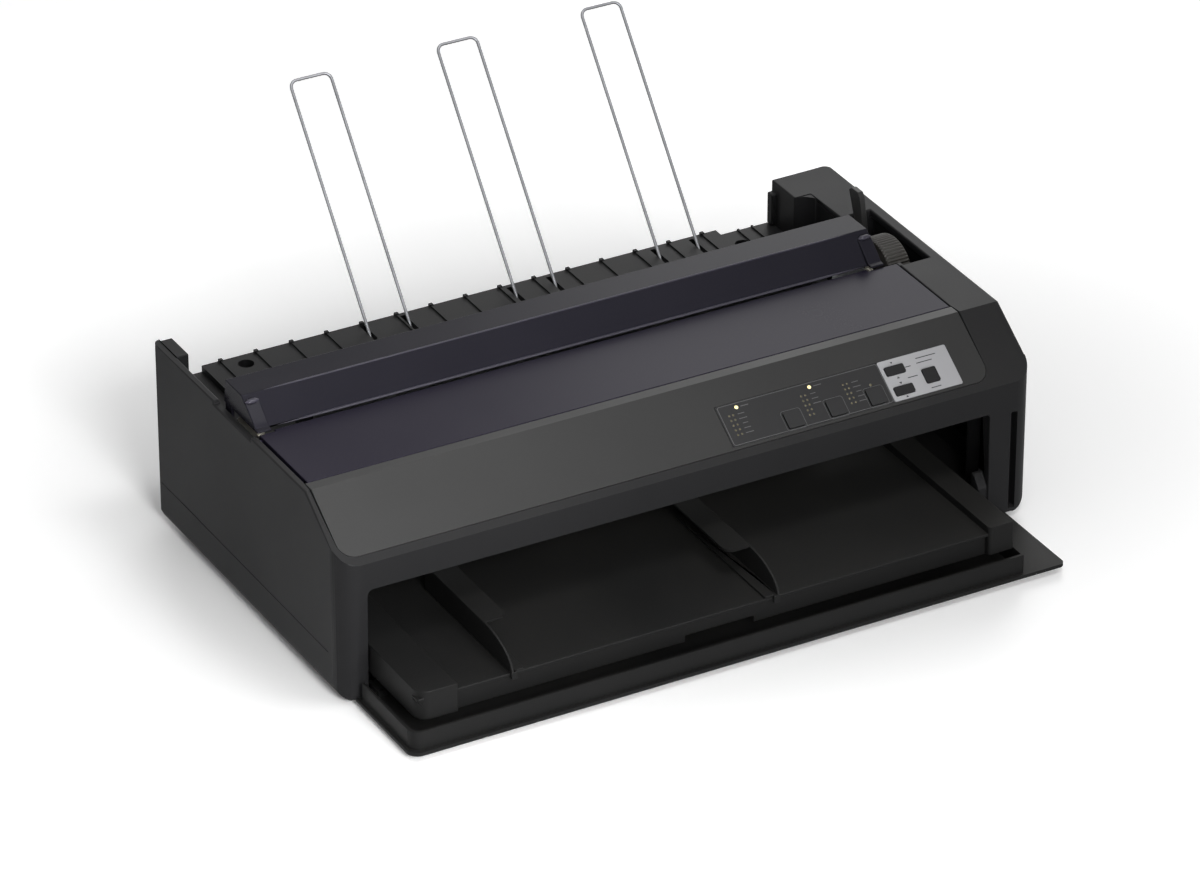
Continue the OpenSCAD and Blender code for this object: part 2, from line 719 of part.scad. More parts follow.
// A wire support: two legs that turn outwards at the top in small bends, and pins at their feet
module wire_support(x) {
    bend = 6;
    half = wire_w / 2;
    pin = 7;
    translate([x, wire_pivot[0], wire_pivot[1]]) rotate([-wire_lean, 0, 0]) {
        for (side = [-1, 1]) {
            translate([side * half, 0, 0]) cylinder(h = wire_len - bend, r = wire_r);
            translate([side * half, 0, 0]) sphere(wire_r);
            translate([side * half, 0, 0]) rotate([0, -side * 90, 0]) cylinder(h = pin, r = wire_r);
            translate([side * (half - bend), 0, wire_len - bend]) rotate([90, 0, 0])
                rotate([0, 0, side > 0 ? 0 : 90]) rotate_extrude(angle = 90)
                    translate([bend, 0]) circle(wire_r);
        }
        translate([-half + bend, 0, wire_len]) rotate([0, 90, 0])
            cylinder(h = wire_w - 2 * bend, r = wire_r);
    }
}

module wire_support_left() {
    color(wire_color) place() wire_support(wire_mid_x - wire_pitch);
}

module wire_support_middle() {
    color(wire_color) place() wire_support(wire_mid_x);
}

module wire_support_right() {
    color(wire_color) place() wire_support(wire_mid_x + wire_pitch);
}

// ---- Covers ----

module printer_cover() {
    skirt = 3.5;
    color(smoke_color) place() {
        // Lip between the sheet guide cover's finger tabs
        block([bar_x0 + tab_w + 3, bar_x1 - tab_w - 3], [cover_y1 - 1, cover_y1 + 4],
              [case_h - cover_t, case_h - 0.4]);
        difference() {
        union() {
            block([cover_x0, cover_x1], [cover_y0, cover_y1], [case_h - cover_t, case_h]);
            // Skirts under the sides
            for (x = [cover_x0, cover_x1 - 2])
                block([x, x + 2], [cover_y0 + 8, cover_y1 - 8], [case_h - cover_t - skirt, case_h - 1]);
            block([cover_x0 + 12, cover_x1 - 12], [cover_y0 + 7, cover_y0 + 9],
                  [case_h - cover_t - skirt + 1, case_h - 1]);
            // Hinge ears and pins at the rear corners
            for (x = [cover_x0, cover_x1 - 4]) {
                rod_x([x, x + 4], cover_pivot, 4);
                block([x, x + 4], [cover_y1 - 10, cover_pivot[0]], [case_h - 8, case_h - 0.5]);
            }
            rod_x([side_wall - 2.2, cover_x0 + 1], cover_pivot, hinge_r);
            rod_x([cover_x1 - 1, bay_x1 + 2], cover_pivot, hinge_r);
        }
        block([cover_x0 - 1, cover_x1 + 1], [cover_y1, cover_y1 + 9], [case_h - 0.4, case_h + 1]);
        }
    }
}

// Outline of the sheet guide cover, drawn in by d
function bar_side(d) =
    [[bar_y + d * 2.4, case_h + 0.4 + (d > 0 ? -1 : 0)], [bar_ridge_y + d * 0.41, case_h + bar_h - d],
     [bar_rear_y - d, case_h + bar_h - d], [bar_rear_y + 3 - d, case_h + 0.4 + (d > 0 ? -1 : 0)]];

module sheet_guide_cover() {
    cheek = 2.5;
    color(smoke_color) place() difference() {
        union() {
            difference() {
                prism_x([bar_x0, bar_x1], bar_side(0));
                prism_x([bar_x0 + cheek, bar_x1 - cheek], bar_side(cover_t));
            }
            // Cheeks that reach down to the hinge
            for (x = [bar_x0, bar_x1 - cheek]) {
                block([x, x + cheek], [bar_pivot[0] - 8, bar_pivot[0] + 3], [bar_pivot[1], case_h + 2]);
                rod_x([x, x + cheek], bar_pivot, 4.5);
            }
            rod_x([side_wall - 2.2, bar_x0 + 1], bar_pivot, hinge_r);
            rod_x([bar_x1 - 1, frame_x1 + frame_t + 1], bar_pivot, hinge_r);
            // Finger tabs on the slanted front, at both ends
            for (x = [bar_x0, bar_x1 - tab_w]) bar_tab(x, tab_w);
        }
    }
}

// A curved tab that follows the cover's slanted front and ends in a small foot
module bar_tab(x, w) {
    t = 1.6;
    prism_x([x, x + w],
            [[bar_y - 6, case_h + 0.6], [bar_y - 6, case_h + 0.6 + t], [bar_y - 1.5, case_h + 1 + t],
             [bar_y + 2, case_h + 4.5 + t], [bar_ridge_y - 6, case_h + bar_h - 6 + 1.2 * t],
             [bar_ridge_y - 3.4, case_h + bar_h - 5], [bar_y + 3, case_h + 2], [bar_y + 1, case_h + 0.6]]);
}

// ---- Frames and mechanism ----

// A steel side frame with its bearings; side is 1 at the right
module frame_plate(x, side) {
    top = case_h - 8;
    hinge_top = side > 0 ? top + 6 : top - 12;
    step = side > 0 ? [lever_pivot[0] + 8, lever_pivot[1] + 4] : [deck_y - 5, frame_rear_z + 8];
    flange = side > 0 ? [tower_x - 12, frame_x1 + 1] : [frame_x0 + 1, frame_x0 + 16];
    cut = [x - 1, x + frame_t + 1];
    difference() {
        union() {
            prism_x([x, x + frame_t],
                    [[pan_y0, pan_z + 1.6], [pan_y0, 62], [60, 62], [60, 96], [84, 112], [100, top - 6],
                     [cover_pivot[0] - 12, top - 6], [cover_pivot[0] - 2, top - 12],
                     [bar_pivot[0] - 16, top - 12], [bar_pivot[0] - 10, hinge_top],
                     [bar_pivot[0] + 6, hinge_top], [bar_pivot[0] + 9, top - 16],
                     step, [step[0] + 1, frame_rear_z],
                     [case_d - 30, frame_rear_z], [case_d - 30, pan_z + 1.6]]);
            // Flange that the rear deck stands on
            block(flange, [deck_y + 38, case_d - 32], [frame_rear_z - frame_t, frame_rear_z]);
        }
        rod_x(cut, platen_c, platen_shaft_r + bush_wall + fit);
        rod_x(cut, rod_c, rod_r + fit);
        rod_x(cut, [tractor_front_y, tractor_z], tractor_rod_r + fit);
        rod_x(cut, [tractor_rear_y, tractor_z], tractor_rod_r + fit);
        // Lightening hole
        rod_x(cut, [200, 46], 18);
    }
}

module side_frame_left() {
    cut = [frame_x0 - 1, frame_x0 + frame_t + 1];
    color(steel_color) place() difference() {
        frame_plate(frame_x0, -1);
        rod_x(cut, reduction_c, 3 + fit);
        rod_x(cut, pinion_c, 5.5);
    }
}

module side_frame_right() {
    cut = [frame_x1 - 1, frame_x1 + frame_t + 1];
    color(steel_color) place() difference() {
        frame_plate(frame_x1, 1);
        rod_x(cut, bar_pivot, hinge_r + fit);
        rod_x(cut, lever_pivot, 2.5);
        rod_x(cut, thickness_pivot, 2 + fit);
    }
}

module base_pan() {
    color(steel_color) place() difference() {
        union() {
            block([frame_x0, frame_x1 + frame_t], [pan_y0, case_d - 30], [pan_z, pan_z + 1.6]);
            // Flange turned up at the front
            block([frame_x0 + 40, frame_x1 - 40], [pan_y0, pan_y0 + 1.6], [pan_z, 24]);
            // Pads down to the floor
            for (x = [frame_x0 + 30, frame_x1 - 46], y = [pan_y0 + 10, case_d - 60])
                block([x, x + 16], [y, y + 12], [wall, pan_z + 1]);
        }
        for (p = screw_places()) rod_z([pan_z - 2, pan_z + 3], p, 2.3);
    }
}

module carriage_rod() {
    color(steel_color) place() rod_x([frame_x0 - 2, frame_x1 + frame_t + 2], rod_c, rod_r);
}

module carriage_rail() {
    color(steel_color) place() {
        block([frame_x0 + frame_t, frame_x1], [belt_y - 18, belt_y + 16], [rail_z, rail_z + 1.6]);
        block([frame_x0 + frame_t, frame_x1], [belt_y - 18, belt_y - 16.4], [rail_z, rail_z + 14]);
        // Pin of the idler pulley
        rod_z([rail_z, belt_z0 + belt_h + 5], [idler_x, belt_y], 3);
        // Stand of the carriage motor
        for (side = [-1, 1])
            block([motor_x + side * (motor_r + 2) - 2, motor_x + side * (motor_r + 2) + 2],
                  [belt_y - 6, belt_y + 6], [rail_z, belt_z0 + belt_h + 7]);
        difference() {
            block([motor_x - motor_r - 4, motor_x + motor_r + 4], [belt_y - 14, belt_y + 14],
                  [belt_z0 + belt_h + 5, belt_z0 + belt_h + 7]);
            rod_z([0, case_h], [motor_x, belt_y], 5 + fit);
        }
    }
}

module paper_chute() {
    t = 1.5;
    bend = 46;
    c = [guide_y1 + 8, platform_z - 2 + bend];
    outer = arc(c, bend, 270, 352, 12);
    inner = arc(c, bend - t, 352, 270, 12);
    color(black_color) place() {
        prism_x([platen_x0 + 2, platen_x1 - 2],
                concat([[guide_y1 + 1, platform_z - 2]], outer, [[platen_c[0] - 22, platen_c[1] - 29]],
                       [[platen_c[0] - 22 - t, platen_c[1] - 29]], inner,
                       [[guide_y1 + 1, platform_z - 2 + t]]));
        // Legs that stand on the base pan
        for (x = [platen_x0 + 20, (platen_x0 + platen_x1) / 2, platen_x1 - 23])
            block([x, x + 3], [pan_y0 + 8, pan_y0 + 20], [pan_z + 1.6, platform_z - 1]);
    }
}

module platen_bushes() {
    color(white_color) place() for (x = [frame_x0, frame_x1]) difference() {
        union() {
            rod_x([x, x + frame_t], platen_c, platen_shaft_r + bush_wall);
            rod_x([x + frame_t, x + frame_t + 1], platen_c, platen_shaft_r + bush_wall + 2);
        }
        rod_x([x - 2, x + frame_t + 4], platen_c, platen_shaft_r + fit);
    }
}

module platen() {
    color(rubber_color) place() {
        rod_x([platen_x0, platen_x1], platen_c, platen_r);
        rod_x([gear_x0 - 1, knob_x + knob_w - 2], platen_c, platen_shaft_r);
    }
}

module spur(x, c, teeth, turn, w) {
    translate([x, c[0], c[1]]) rotate([90, 0, 90]) rotate([0, 0, turn])
        linear_extrude(w) polygon(gear_points(teeth, gear_m));
}

module platen_gear() {
    color(white_color) place() difference() {
        union() {
            spur(gear_x0, platen_c, platen_teeth, 0, gear_w);
            rod_x([gear_x0, frame_x0 - gap], platen_c, platen_shaft_r + 3);
        }
        rod_x([gear_x0 - 2, frame_x0 + 1], platen_c, platen_shaft_r + fit);
    }
}

module platen_knob() {
    flutes = 24;
    color(black_color) place() difference() {
        union() {
            rod_x([knob_x, knob_x + knob_w - 2], platen_c, knob_r);
            rod_x([knob_x, knob_x + knob_w], platen_c, knob_r - 3);
        }
        rod_x([knob_x - 1, knob_x + knob_w - 1.8], platen_c, platen_shaft_r + fit);
        for (i = [0:flutes - 1])
            rod_x([knob_x + 3, knob_x + knob_w + 1],
                  [platen_c[0] + (knob_r + 1.1) * cos(360 * i / flutes),
                   platen_c[1] + (knob_r + 1.1) * sin(360 * i / flutes)], 2);
    }
}

module reduction_gear() {
    color(white_color) place() {
        spur(gear_x0, reduction_c, reduction_teeth, reduction_turn, gear_w);
        rod_x([gear_x0, frame_x0 - gap], reduction_c, 6);
        rod_x([frame_x0 - 1, frame_x0 + frame_t + 2], reduction_c, 3);
    }
}

module feed_pinion() {
    color(steel_color) place() difference() {
        union() {
            spur(gear_x0, pinion_c, pinion_teeth, pinion_turn, gear_w);
            rod_x([gear_x0, frame_x0 - gap], pinion_c, 3.4);
        }
        rod_x([gear_x0 - 1, frame_x0 + 1], pinion_c, 1.5 + fit);
    }
}

module feed_motor() {
    r = 17;
    color(steel_color) place() {
        rod_x([frame_x0 + frame_t, frame_x0 + frame_t + 34], pinion_c, r);
        rod_x([gear_x0, frame_x0 + frame_t + 1], pinion_c, 1.5);
        rod_x([frame_x0, frame_x0 + frame_t + 1], pinion_c, 5);
    }
}

module carriage_motor() {
    z0 = belt_z0 + belt_h + 7;
    color(steel_color) place() {
        rod_z([z0, z0 + 26], [motor_x, belt_y], motor_r);
        rod_z([belt_z0 - 2, z0 + 1], [motor_x, belt_y], 2);
        rod_z([z0 - 2, z0 + 1], [motor_x, belt_y], 5);
    }
}

module pulley(x, bore) {
    difference() {
        union() {
            rod_z([belt_z0 - 0.6, belt_z0 + belt_h + 0.6], [x, belt_y], pulley_r);
            rod_z([belt_z0 - 1.6, belt_z0 - 0.6], [x, belt_y], pulley_r + 2.4);
            rod_z([belt_z0 + belt_h + 0.6, belt_z0 + belt_h + 1.6], [x, belt_y], pulley_r + 2.4);
        }
        rod_z([belt_z0 - 3, belt_z0 + belt_h + 3], [x, belt_y], bore);
    }
}

module motor_pulley() {
    color(white_color) place() pulley(motor_x, 2 + fit);
}

module idler_pulley() {
    color(white_color) place() pulley(idler_x, 3 + fit);
}

// The belt lies round both pulleys, clear of their rims
module timing_belt() {
    r = pulley_r + 0.3;
    color(rubber_color) place() translate([0, 0, belt_z0]) linear_extrude(belt_h) difference() {
        belt_outline(r + belt_t);
        belt_outline(r);
    }
}

module belt_outline(r) {
    translate([idler_x, belt_y]) circle(r);
    translate([motor_x, belt_y]) circle(r);
    translate([idler_x, belt_y - r]) square([motor_x - idler_x, 2 * r]);
}

module print_carriage() {
    y0 = rod_c[0] - 20;
    y1 = rod_c[0] + 20;
    strand = belt_y + pulley_r + 0.3 + belt_t / 2;
    color(black_color) place() difference() {
        union() {
            block([carriage_x - carriage_w / 2, carriage_x + carriage_w / 2], [y0, y1],
                  [rod_c[1] - 10, rod_c[1] + 12]);
            // Bed under the head and the ribbon cartridge
            block([carriage_x - carriage_w / 2, carriage_x + carriage_w / 2], [belt_y - 12, y1],
                  [rod_c[1] + 12, rod_c[1] + 22]);
            // Clamp that holds the belt's rear strand
            block([carriage_x - 12, carriage_x + 12], [strand - 3, y0 + 1], [belt_z0 - 2.5, rod_c[1] + 12]);
        }
        rod_x([0, case_w], rod_c, rod_r + fit);
        block([carriage_x - 13, carriage_x + 13], [strand - belt_t / 2 - gap, strand + belt_t / 2 + gap],
              [belt_z0 - gap, belt_z0 + belt_h + gap]);
        block([carriage_x - 13, carriage_x + 13], [strand - belt_t / 2 - gap, strand + belt_t / 2 + gap],
              [belt_z0 - 4, belt_z0]);
    }
}

module print_head() {
    fins = 6;
    y1 = rod_c[0] + 22;
    z0 = rod_c[1] + 22;
    nose_y = platen_c[0] - platen_r - 2.2;
    color(steel_color) place() {
        // Finned heat sink
        block([carriage_x - head_w / 2, carriage_x + head_w / 2], [y1 - 34, y1 - 2], [z0, z0 + 8]);
        for (i = [0:fins - 1])
            block([carriage_x - head_w / 2 + i * (head_w - 2.4) / (fins - 1),
                   carriage_x - head_w / 2 + i * (head_w - 2.4) / (fins - 1) + 2.4],
                  [y1 - 34, y1 - 2], [z0 + 7, z0 + 30]);
        // Nose that carries the wires to the platen
        block([carriage_x - 9, carriage_x + 9], [y1 - 3, y1 + 8], [platen_c[1] - 14, platen_c[1] + 8]);
        block([carriage_x - 5, carriage_x + 5], [y1 + 7, nose_y], [platen_c[1] - 7, platen_c[1] + 5]);
    }
}

module ribbon_cartridge() {
    z0 = rod_c[1] + 22;
    z1 = z0 + 24;
    y0 = belt_y - 20;
    y1 = rod_c[0] - 14;
    arm_w = 8;
    ribbon_y = platen_c[0] - platen_r - 1.5;
    x0 = carriage_x - ribbon_w / 2;
    x1 = carriage_x + ribbon_w / 2;
    color(black_color) place() {
        difference() {
            block([x0, x1], [y0, y1], [z0 + 6, z1]);
            rod_z([z1 - 1.2, z1 + 1], [x0 + 30, (y0 + y1) / 2], 12);
            rod_z([z1 - 8, z1 + 1], [x0 + 30, (y0 + y1) / 2], 2 + fit);
        }
        block([carriage_x - 20, carriage_x + 20], [y0, y1], [z0, z0 + 7]);
        // Arms that hold the ribbon along the platen
        for (x = [x0, x1 - arm_w]) block([x, x + arm_w], [y1 - 1, ribbon_y], [z0 + 8, z1 - 2]);
        block([x0, x1], [ribbon_y - 0.3, ribbon_y + 0.1], [z0 + 12, z1 - 1]);
    }
}

module ribbon_knob() {
    z1 = rod_c[1] + 46;
    c = [carriage_x - ribbon_w / 2 + 30, (belt_y - 20 + rod_c[0] - 14) / 2];
    color(white_color) place() difference() {
        union() {
            rod_z([z1 - 0.8, z1 + 4], c, 10);
            rod_z([z1 - 7, z1], c, 2);
        }
        for (i = [0:9]) rod_z([z1, z1 + 5], [c[0] + 11 * cos(36 * i), c[1] + 11 * sin(36 * i)], 2);
    }
}

// ---- Levers ----

lever_pivot = [platen_c[0] + 46, platen_c[1] - 17];
thickness_pivot = [platen_c[0] - 38, case_h - 24];
lever_x = bay_x1 + 5;

module release_lever() {
    foot = [lever_pivot[0], lever_pivot[1]];
    top_z = case_h + 29;
    top_y = foot[0] + 2;
    color(black_color) place() {
        difference() {
            union() {
                rod_x([lever_x, lever_x + 5], foot, 7);
                prism_x([lever_x, lever_x + 5],
                        [[foot[0] - 5, foot[1]], [foot[0] + 5, foot[1]], [foot[0] - 2, case_h - 4],
                         [top_y + 8, top_z - 3], [top_y + 4, top_z], [top_y - 6, top_z],
                         [top_y - 9, top_z - 4],
                         [foot[0] - 13, case_h - 2]]);
            }
            rod_x([lever_x - 1, lever_x + 3.5], foot, 2.5);
        }
        rod_x([frame_x1 + frame_t + 3, lever_x + 1], foot, 5);
        rod_x([frame_x1 - 3, lever_x + 4], foot, 2.5 - fit);
    }
}

module thickness_lever() {
    c = thickness_pivot;
    x = frame_x1 - 6;
    color([0.2, 0.35, 0.6]) place() {
        rod_x([x, x + 4], c, 5);
        prism_x([x, x + 4],
                [[c[0] - 3, c[1]], [c[0] + 3, c[1]], [c[0] + 2, c[1] + 12], [c[0] - 4, c[1] + 12]]);
        rod_x([x + 3, frame_x1 + frame_t + 1], c, 2);
    }
}

// ---- Tractors ----

module tractor_rods() {
    color(steel_color) place() for (y = [tractor_front_y, tractor_rear_y])
        rod_x([frame_x0 - 2, frame_x1 + frame_t + 2], [y, tractor_z], tractor_rod_r);
}

module tractor(x) {
    r = tractor_top;
    x1 = x + tractor_w;
    difference() {
        union() {
            for (y = [tractor_front_y, tractor_rear_y]) rod_x([x, x1], [y, tractor_z], r);
            block([x, x1], [tractor_front_y, tractor_rear_y], [tractor_z - r, tractor_z + r]);
            // Pins of the feed belt
            for (y = [tractor_front_y + 4:8:tractor_rear_y])
                rod_z([tractor_z + r - 1, tractor_z + r + 2], [x + tractor_w / 2, y], 1.8);
            // Hinge blocks of the flap
            for (y = [tractor_front_y + 2, tractor_rear_y - 8])
                block([x - 1, x + 5], [y, y + 6], [tractor_z + r - 1, tractor_z + r + 5]);
        }
        for (y = [tractor_front_y, tractor_rear_y])
            rod_x([x - 1, x1 + 1], [y, tractor_z], tractor_rod_r + fit);
        // Side recess that leaves a rim round the feed belt
        for (side = [x - 1, x1 - 2])
            block([side, side + 3], [tractor_front_y + 7, tractor_rear_y - 7],
                  [tractor_z - r + 3, tractor_z + r - 5]);
        rod_y([tractor_front_y, tractor_rear_y], [x + 2, tractor_z + r + 2.5], 1 + fit);
    }
}

module tractor_flap(x) {
    r = tractor_top;
    z = tractor_z + r + 2.5;
    color(black_color) place() difference() {
        union() {
            block([x + 2, x + tractor_w], [tractor_front_y + 9, tractor_rear_y - 9],
                  [z + 1, z + 1 + flap_t]);
            rod_y([tractor_front_y + 9, tractor_rear_y - 9], [x + 2, z + 0.5], 2.4);
            rod_y([tractor_front_y + 3, tractor_rear_y - 3], [x + 2, z], 1);
        }
        block([x + tractor_w / 2 - 2.6, x + tractor_w / 2 + 2.6],
              [tractor_front_y + 11, tractor_rear_y - 11], [z - 1, z + 5]);
    }
}

module tractor_left() {
    color(black_color) place() tractor(tractor_left_x);
}

module tractor_right() {
    color(black_color) place() tractor(tractor_right_x);
}

module tractor_flap_left() {
    tractor_flap(tractor_left_x);
}

module tractor_flap_right() {
    tractor_flap(tractor_right_x);
}

// ---- Electrics ----

module main_board() {
    x0 = frame_x0 + 40;
    z = pan_z + 6;
    color(board_color) place() {
        block([x0, x0 + 250], [190, case_d - 34], [z, z + 1.6]);
        for (x = [x0 + 6, x0 + 244], y = [194, case_d - 38]) rod_z([pan_z + 1.6, z], [x, y], 3);
        for (i = [0:4]) block([x0 + 24 + 44 * i, x0 + 46 + 44 * i], [206, 230], [z + 1.5, z + 4]);
        for (i = [0:2]) rod_z([z + 1.5, z + 18], [x0 + 40 + 34 * i, 256], 7);
    }
}

module power_supply() {
    x0 = frame_x1 - 210;
    color(steel_color) place() {
        block([x0, x0 + 170], [184, case_d - 58], [pan_z + 6, pan_z + 8]);
        for (x = [x0 + 5, x0 + 165], y = [188, case_d - 62]) rod_z([pan_z + 1.6, pan_z + 7], [x, y], 3);
        block([x0 + 14, x0 + 60], [194, 226], [pan_z + 8, 44]);
        block([x0 + 80, x0 + 110], [196, 236], [pan_z + 8, 34]);
        for (i = [0:1]) rod_z([pan_z + 8, 40], [x0 + 138, 204 + 26 * i], 11);
    }
}

// Sockets in the rear wall
module parallel_port() {
    y = case_d - 21;
    color(steel_color) place() difference() {
        union() {
            block([port_x - 2.6, port_x + 65.6], [y - wall - 8, y + 1], [14.4, 35.6]);
            block([port_x + 6, port_x + 58], [y, y + 7], [17, 33]);
            block([port_x, port_x + 64], [y - wall - 30, y - wall - 7], [pan_z + 7.6, 30]);
        }
        block([port_x + 8, port_x + 56], [y - 4, y + 8], [19, 31]);
    }
}

module power_inlet() {
    y = case_d - 21;
    color(black_color) place() difference() {
        union() {
            block([inlet_x, inlet_x + 48], [y - wall - 24, y + 1], [10.4, 37.6]);
            block([inlet_x - 2, inlet_x + 50], [y + gap / 4, y + 2], [8.4, 39.6]);
        }
        block([inlet_x + 3, inlet_x + 27], [y - 18, y + 3], [16, 33]);
        block([inlet_x + 32, inlet_x + 44.6], [y - 14, y + 3], [13.4, 35.6]);
        rod_x([inlet_x + 30, inlet_x + 47], rocker_pivot(), 1.5 + fit);
    }
    color(steel_color) place() for (x = [inlet_x + 9, inlet_x + 15, inlet_x + 21])
        block([x - 1, x + 1], [y - 18.5, y - 5], [22, 27]);
}

function rocker_pivot() = [case_d - 24, 24.5];

module power_rocker() {
    c = rocker_pivot();
    color(black_color) place() {
        prism_x([inlet_x + 32.6, inlet_x + 44],
                [[c[0] - 6, c[1] - 7], [c[0] + 4, c[1] - 9], [c[0] + 3.4, c[1]], [c[0] + 6, c[1] + 9],
                 [c[0] - 5, c[1] + 8]]);
        rod_x([inlet_x + 30.5, inlet_x + 46.5], c, 1.5);
    }
}

// ---- Front sheet guide and front cover ----

module front_sheet_guide() {
    y0 = -guide_reach;
    rail_z1 = platform_z + rail_h;
    guide_mid_x = (guide_x0 + guide_x1) / 2;
    color(black_color) place() difference() {
        union() {
            block([guide_x0, guide_x1], [y0 + 2, guide_y1], [platform_z - platform_t, platform_z]);
            // Broad rail and post at the left
            guide_rail(guide_x0, left_post_w, rail_z1, 12);
            // Slim rail and post at the right
            guide_rail(guide_x1 - right_post_w, right_post_w - 2, rail_z1, 3);
            // Ribs under the platform
            for (x = [guide_x0 + 110:100:guide_x1 - 60])
                block([x, x + 2], [y0 + 10, guide_y1 - 10], [platform_z - 9, platform_z - 1]);
            // Skirt under the platform's front edge
            block([guide_x0 + 4, guide_x1 - 4], [y0 + 6, y0 + 8], [flap_h + 0.6, platform_z - 1]);
        }
        // Finger notch in the skirt's lower edge
        block([guide_mid_x - 30, guide_mid_x + 30], [y0 + 5, y0 + 9], [flap_h, flap_h + 6]);
    }
}

// A rail along the platform's side, turned down into a post at the front
module guide_rail(x, w, z1, r) {
    y0 = -guide_reach;
    translate([x, y0, platform_z - 4]) linear_extrude(z1 - platform_z + 4)
        rail_outline(w, guide_y1 - y0 - 20, r);
    translate([x, y0, post_z0]) linear_extrude(z1 - post_z0) rail_outline(w, 18, r);
    translate([x, y0, post_z0]) linear_extrude(z1 - post_z0 - 6) translate([0, 12]) square([3, 100]);
}

// Outline with a round front left corner of radius r
module rail_outline(w, d, r) {
    translate([r, 0]) square([w - r, d]);
    translate([0, r]) square([w, d - r]);
    translate([r, r]) circle(r);
}

// Outline of an edge guide's upright fin: a quarter ellipse at the front, then level
function fin_side() =
    let (y0 = -guide_reach - 1, z0 = platform_z + gap)
    concat([for (i = [0:10]) [y0 + fin_nose * (1 - cos(9 * i)), z0 + fin_h * sin(9 * i)]],
           [[fin_y1, z0 + fin_h], [fin_y1, z0]]);

// An edge guide at x; side is 1 where its flange points right
module edge_guide(x, side) {
    z0 = platform_z + gap;
    y0 = -guide_reach - 1;
    x1 = x + side * fin_flange;
    color(black_color) place() {
        prism_x([min(x, x + side * fin_t), max(x, x + side * fin_t)], fin_side());
        // Upper flange with a rounded front corner
        translate([0, 0, z0 + fin_h - fin_t]) linear_extrude(fin_t) {
            translate([min(x, x1), y0 + fin_nose + 8]) square([fin_flange, fin_y1 - y0 - fin_nose - 8]);
            translate([min(x, x1) + (side > 0 ? 0 : 8), y0 + fin_nose]) square([fin_flange - 8, 20]);
            translate([x1 - side * 8, y0 + fin_nose + 8]) circle(8);
        }
        // Foot that lies on the platform, and the hook over its front edge
        block([min(x, x + side * 12), max(x, x + side * 12)], [y0 + 2.5, fin_y1], [z0, z0 + 1.6]);
        block([min(x, x + side * 5), max(x, x + side * 5)], [y0, y0 + 3 - gap],
              [platform_z - platform_t - 2, z0 + 1.6]);
    }
}

module edge_guide_left() {
    edge_guide(left_fin_x, 1);
}

module edge_guide_right() {
    edge_guide(right_fin_x, -1);
}

// The front cover lies open: a thin plate, and a rim that stands on three sides of a recess
module front_cover() {
    rim_x0 = flap_x0 + 3;
    rim_x1 = guide_x1 + 4;
    rim_y0 = flap_recess_y - flap_rim;
    color(black_color) place() {
        translate([flap_x0, flap_y0, 0.5]) linear_extrude(flap_floor - 0.5)
            rail_outline_both(flap_x1 - flap_x0, flap_y1 - flap_y0, 10, 5);
        // Rim with a round left corner; it stops short of the case, so that the cover can be lifted
        translate([rim_x0, rim_y0, 1]) linear_extrude(flap_h - 1) difference() {
            rail_outline_both(rim_x1 - rim_x0, flap_y1 - 5 - rim_y0, 9, 3);
            translate([flap_rim, flap_rim])
                rail_outline_both(rim_x1 - rim_x0 - 2 * flap_rim, flap_y1 - rim_y0, 7, 1);
        }
        // Lugs that reach back to the hinge pins
        for (x = hinge_places()) difference() {
            union() {
                block([x, x + lug_w], [flap_y1 - 8, flap_pivot[0]], [2, flap_pivot[1] + 4]);
                rod_x([x, x + lug_w], flap_pivot, 4);
            }
            rod_x([x - 1, x + lug_w + 1], flap_pivot, 1.6 + fit);
        }
    }
}

// Outline with front corners of radius r at the left and q at the right
module rail_outline_both(w, d, r, q) {
    translate([r, 0]) square([w - r - q, d]);
    translate([0, r]) square([w, d - r]);
    translate([w / 2, q]) square([w / 2, d - q]);
    translate([r, r]) circle(r);
    translate([w - q, q]) circle(q);
}

upper_case();
lower_case();
fascia_panel();
control_overlay();
selector_plate();
lamp_lenses();
rear_deck();
rubber_feet();
case_screws();
side_frame_left();
side_frame_right();
base_pan();
carriage_rod();
carriage_rail();
paper_chute();
platen_bushes();
carriage_motor();
feed_motor();
timing_belt();
main_board();
power_supply();
parallel_port();
power_inlet();
tractor_rods();
button_board();
printer_cover();
sheet_guide_cover();
wire_support_left();
wire_support_middle();
wire_support_right();
platen();
platen_gear();
platen_knob();
reduction_gear();
feed_pinion();
print_carriage();
print_head();
ribbon_cartridge();
ribbon_knob();
motor_pulley();
idler_pulley();
release_lever();
thickness_lever();
tractor_left();
tractor_right();
tractor_flap_left();
tractor_flap_right();
front_sheet_guide();
edge_guide_left();
edge_guide_right();
front_cover();
button_one();
button_two();
button_three();
selector_key_upper();
selector_key_lower();
selector_key_square();
power_rocker();
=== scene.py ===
import json
import logging
import math
from dataclasses import dataclass, field
from enum import Enum
from functools import cache

import bmesh
import bpy
import numpy as np
from mathutils import Matrix, Vector


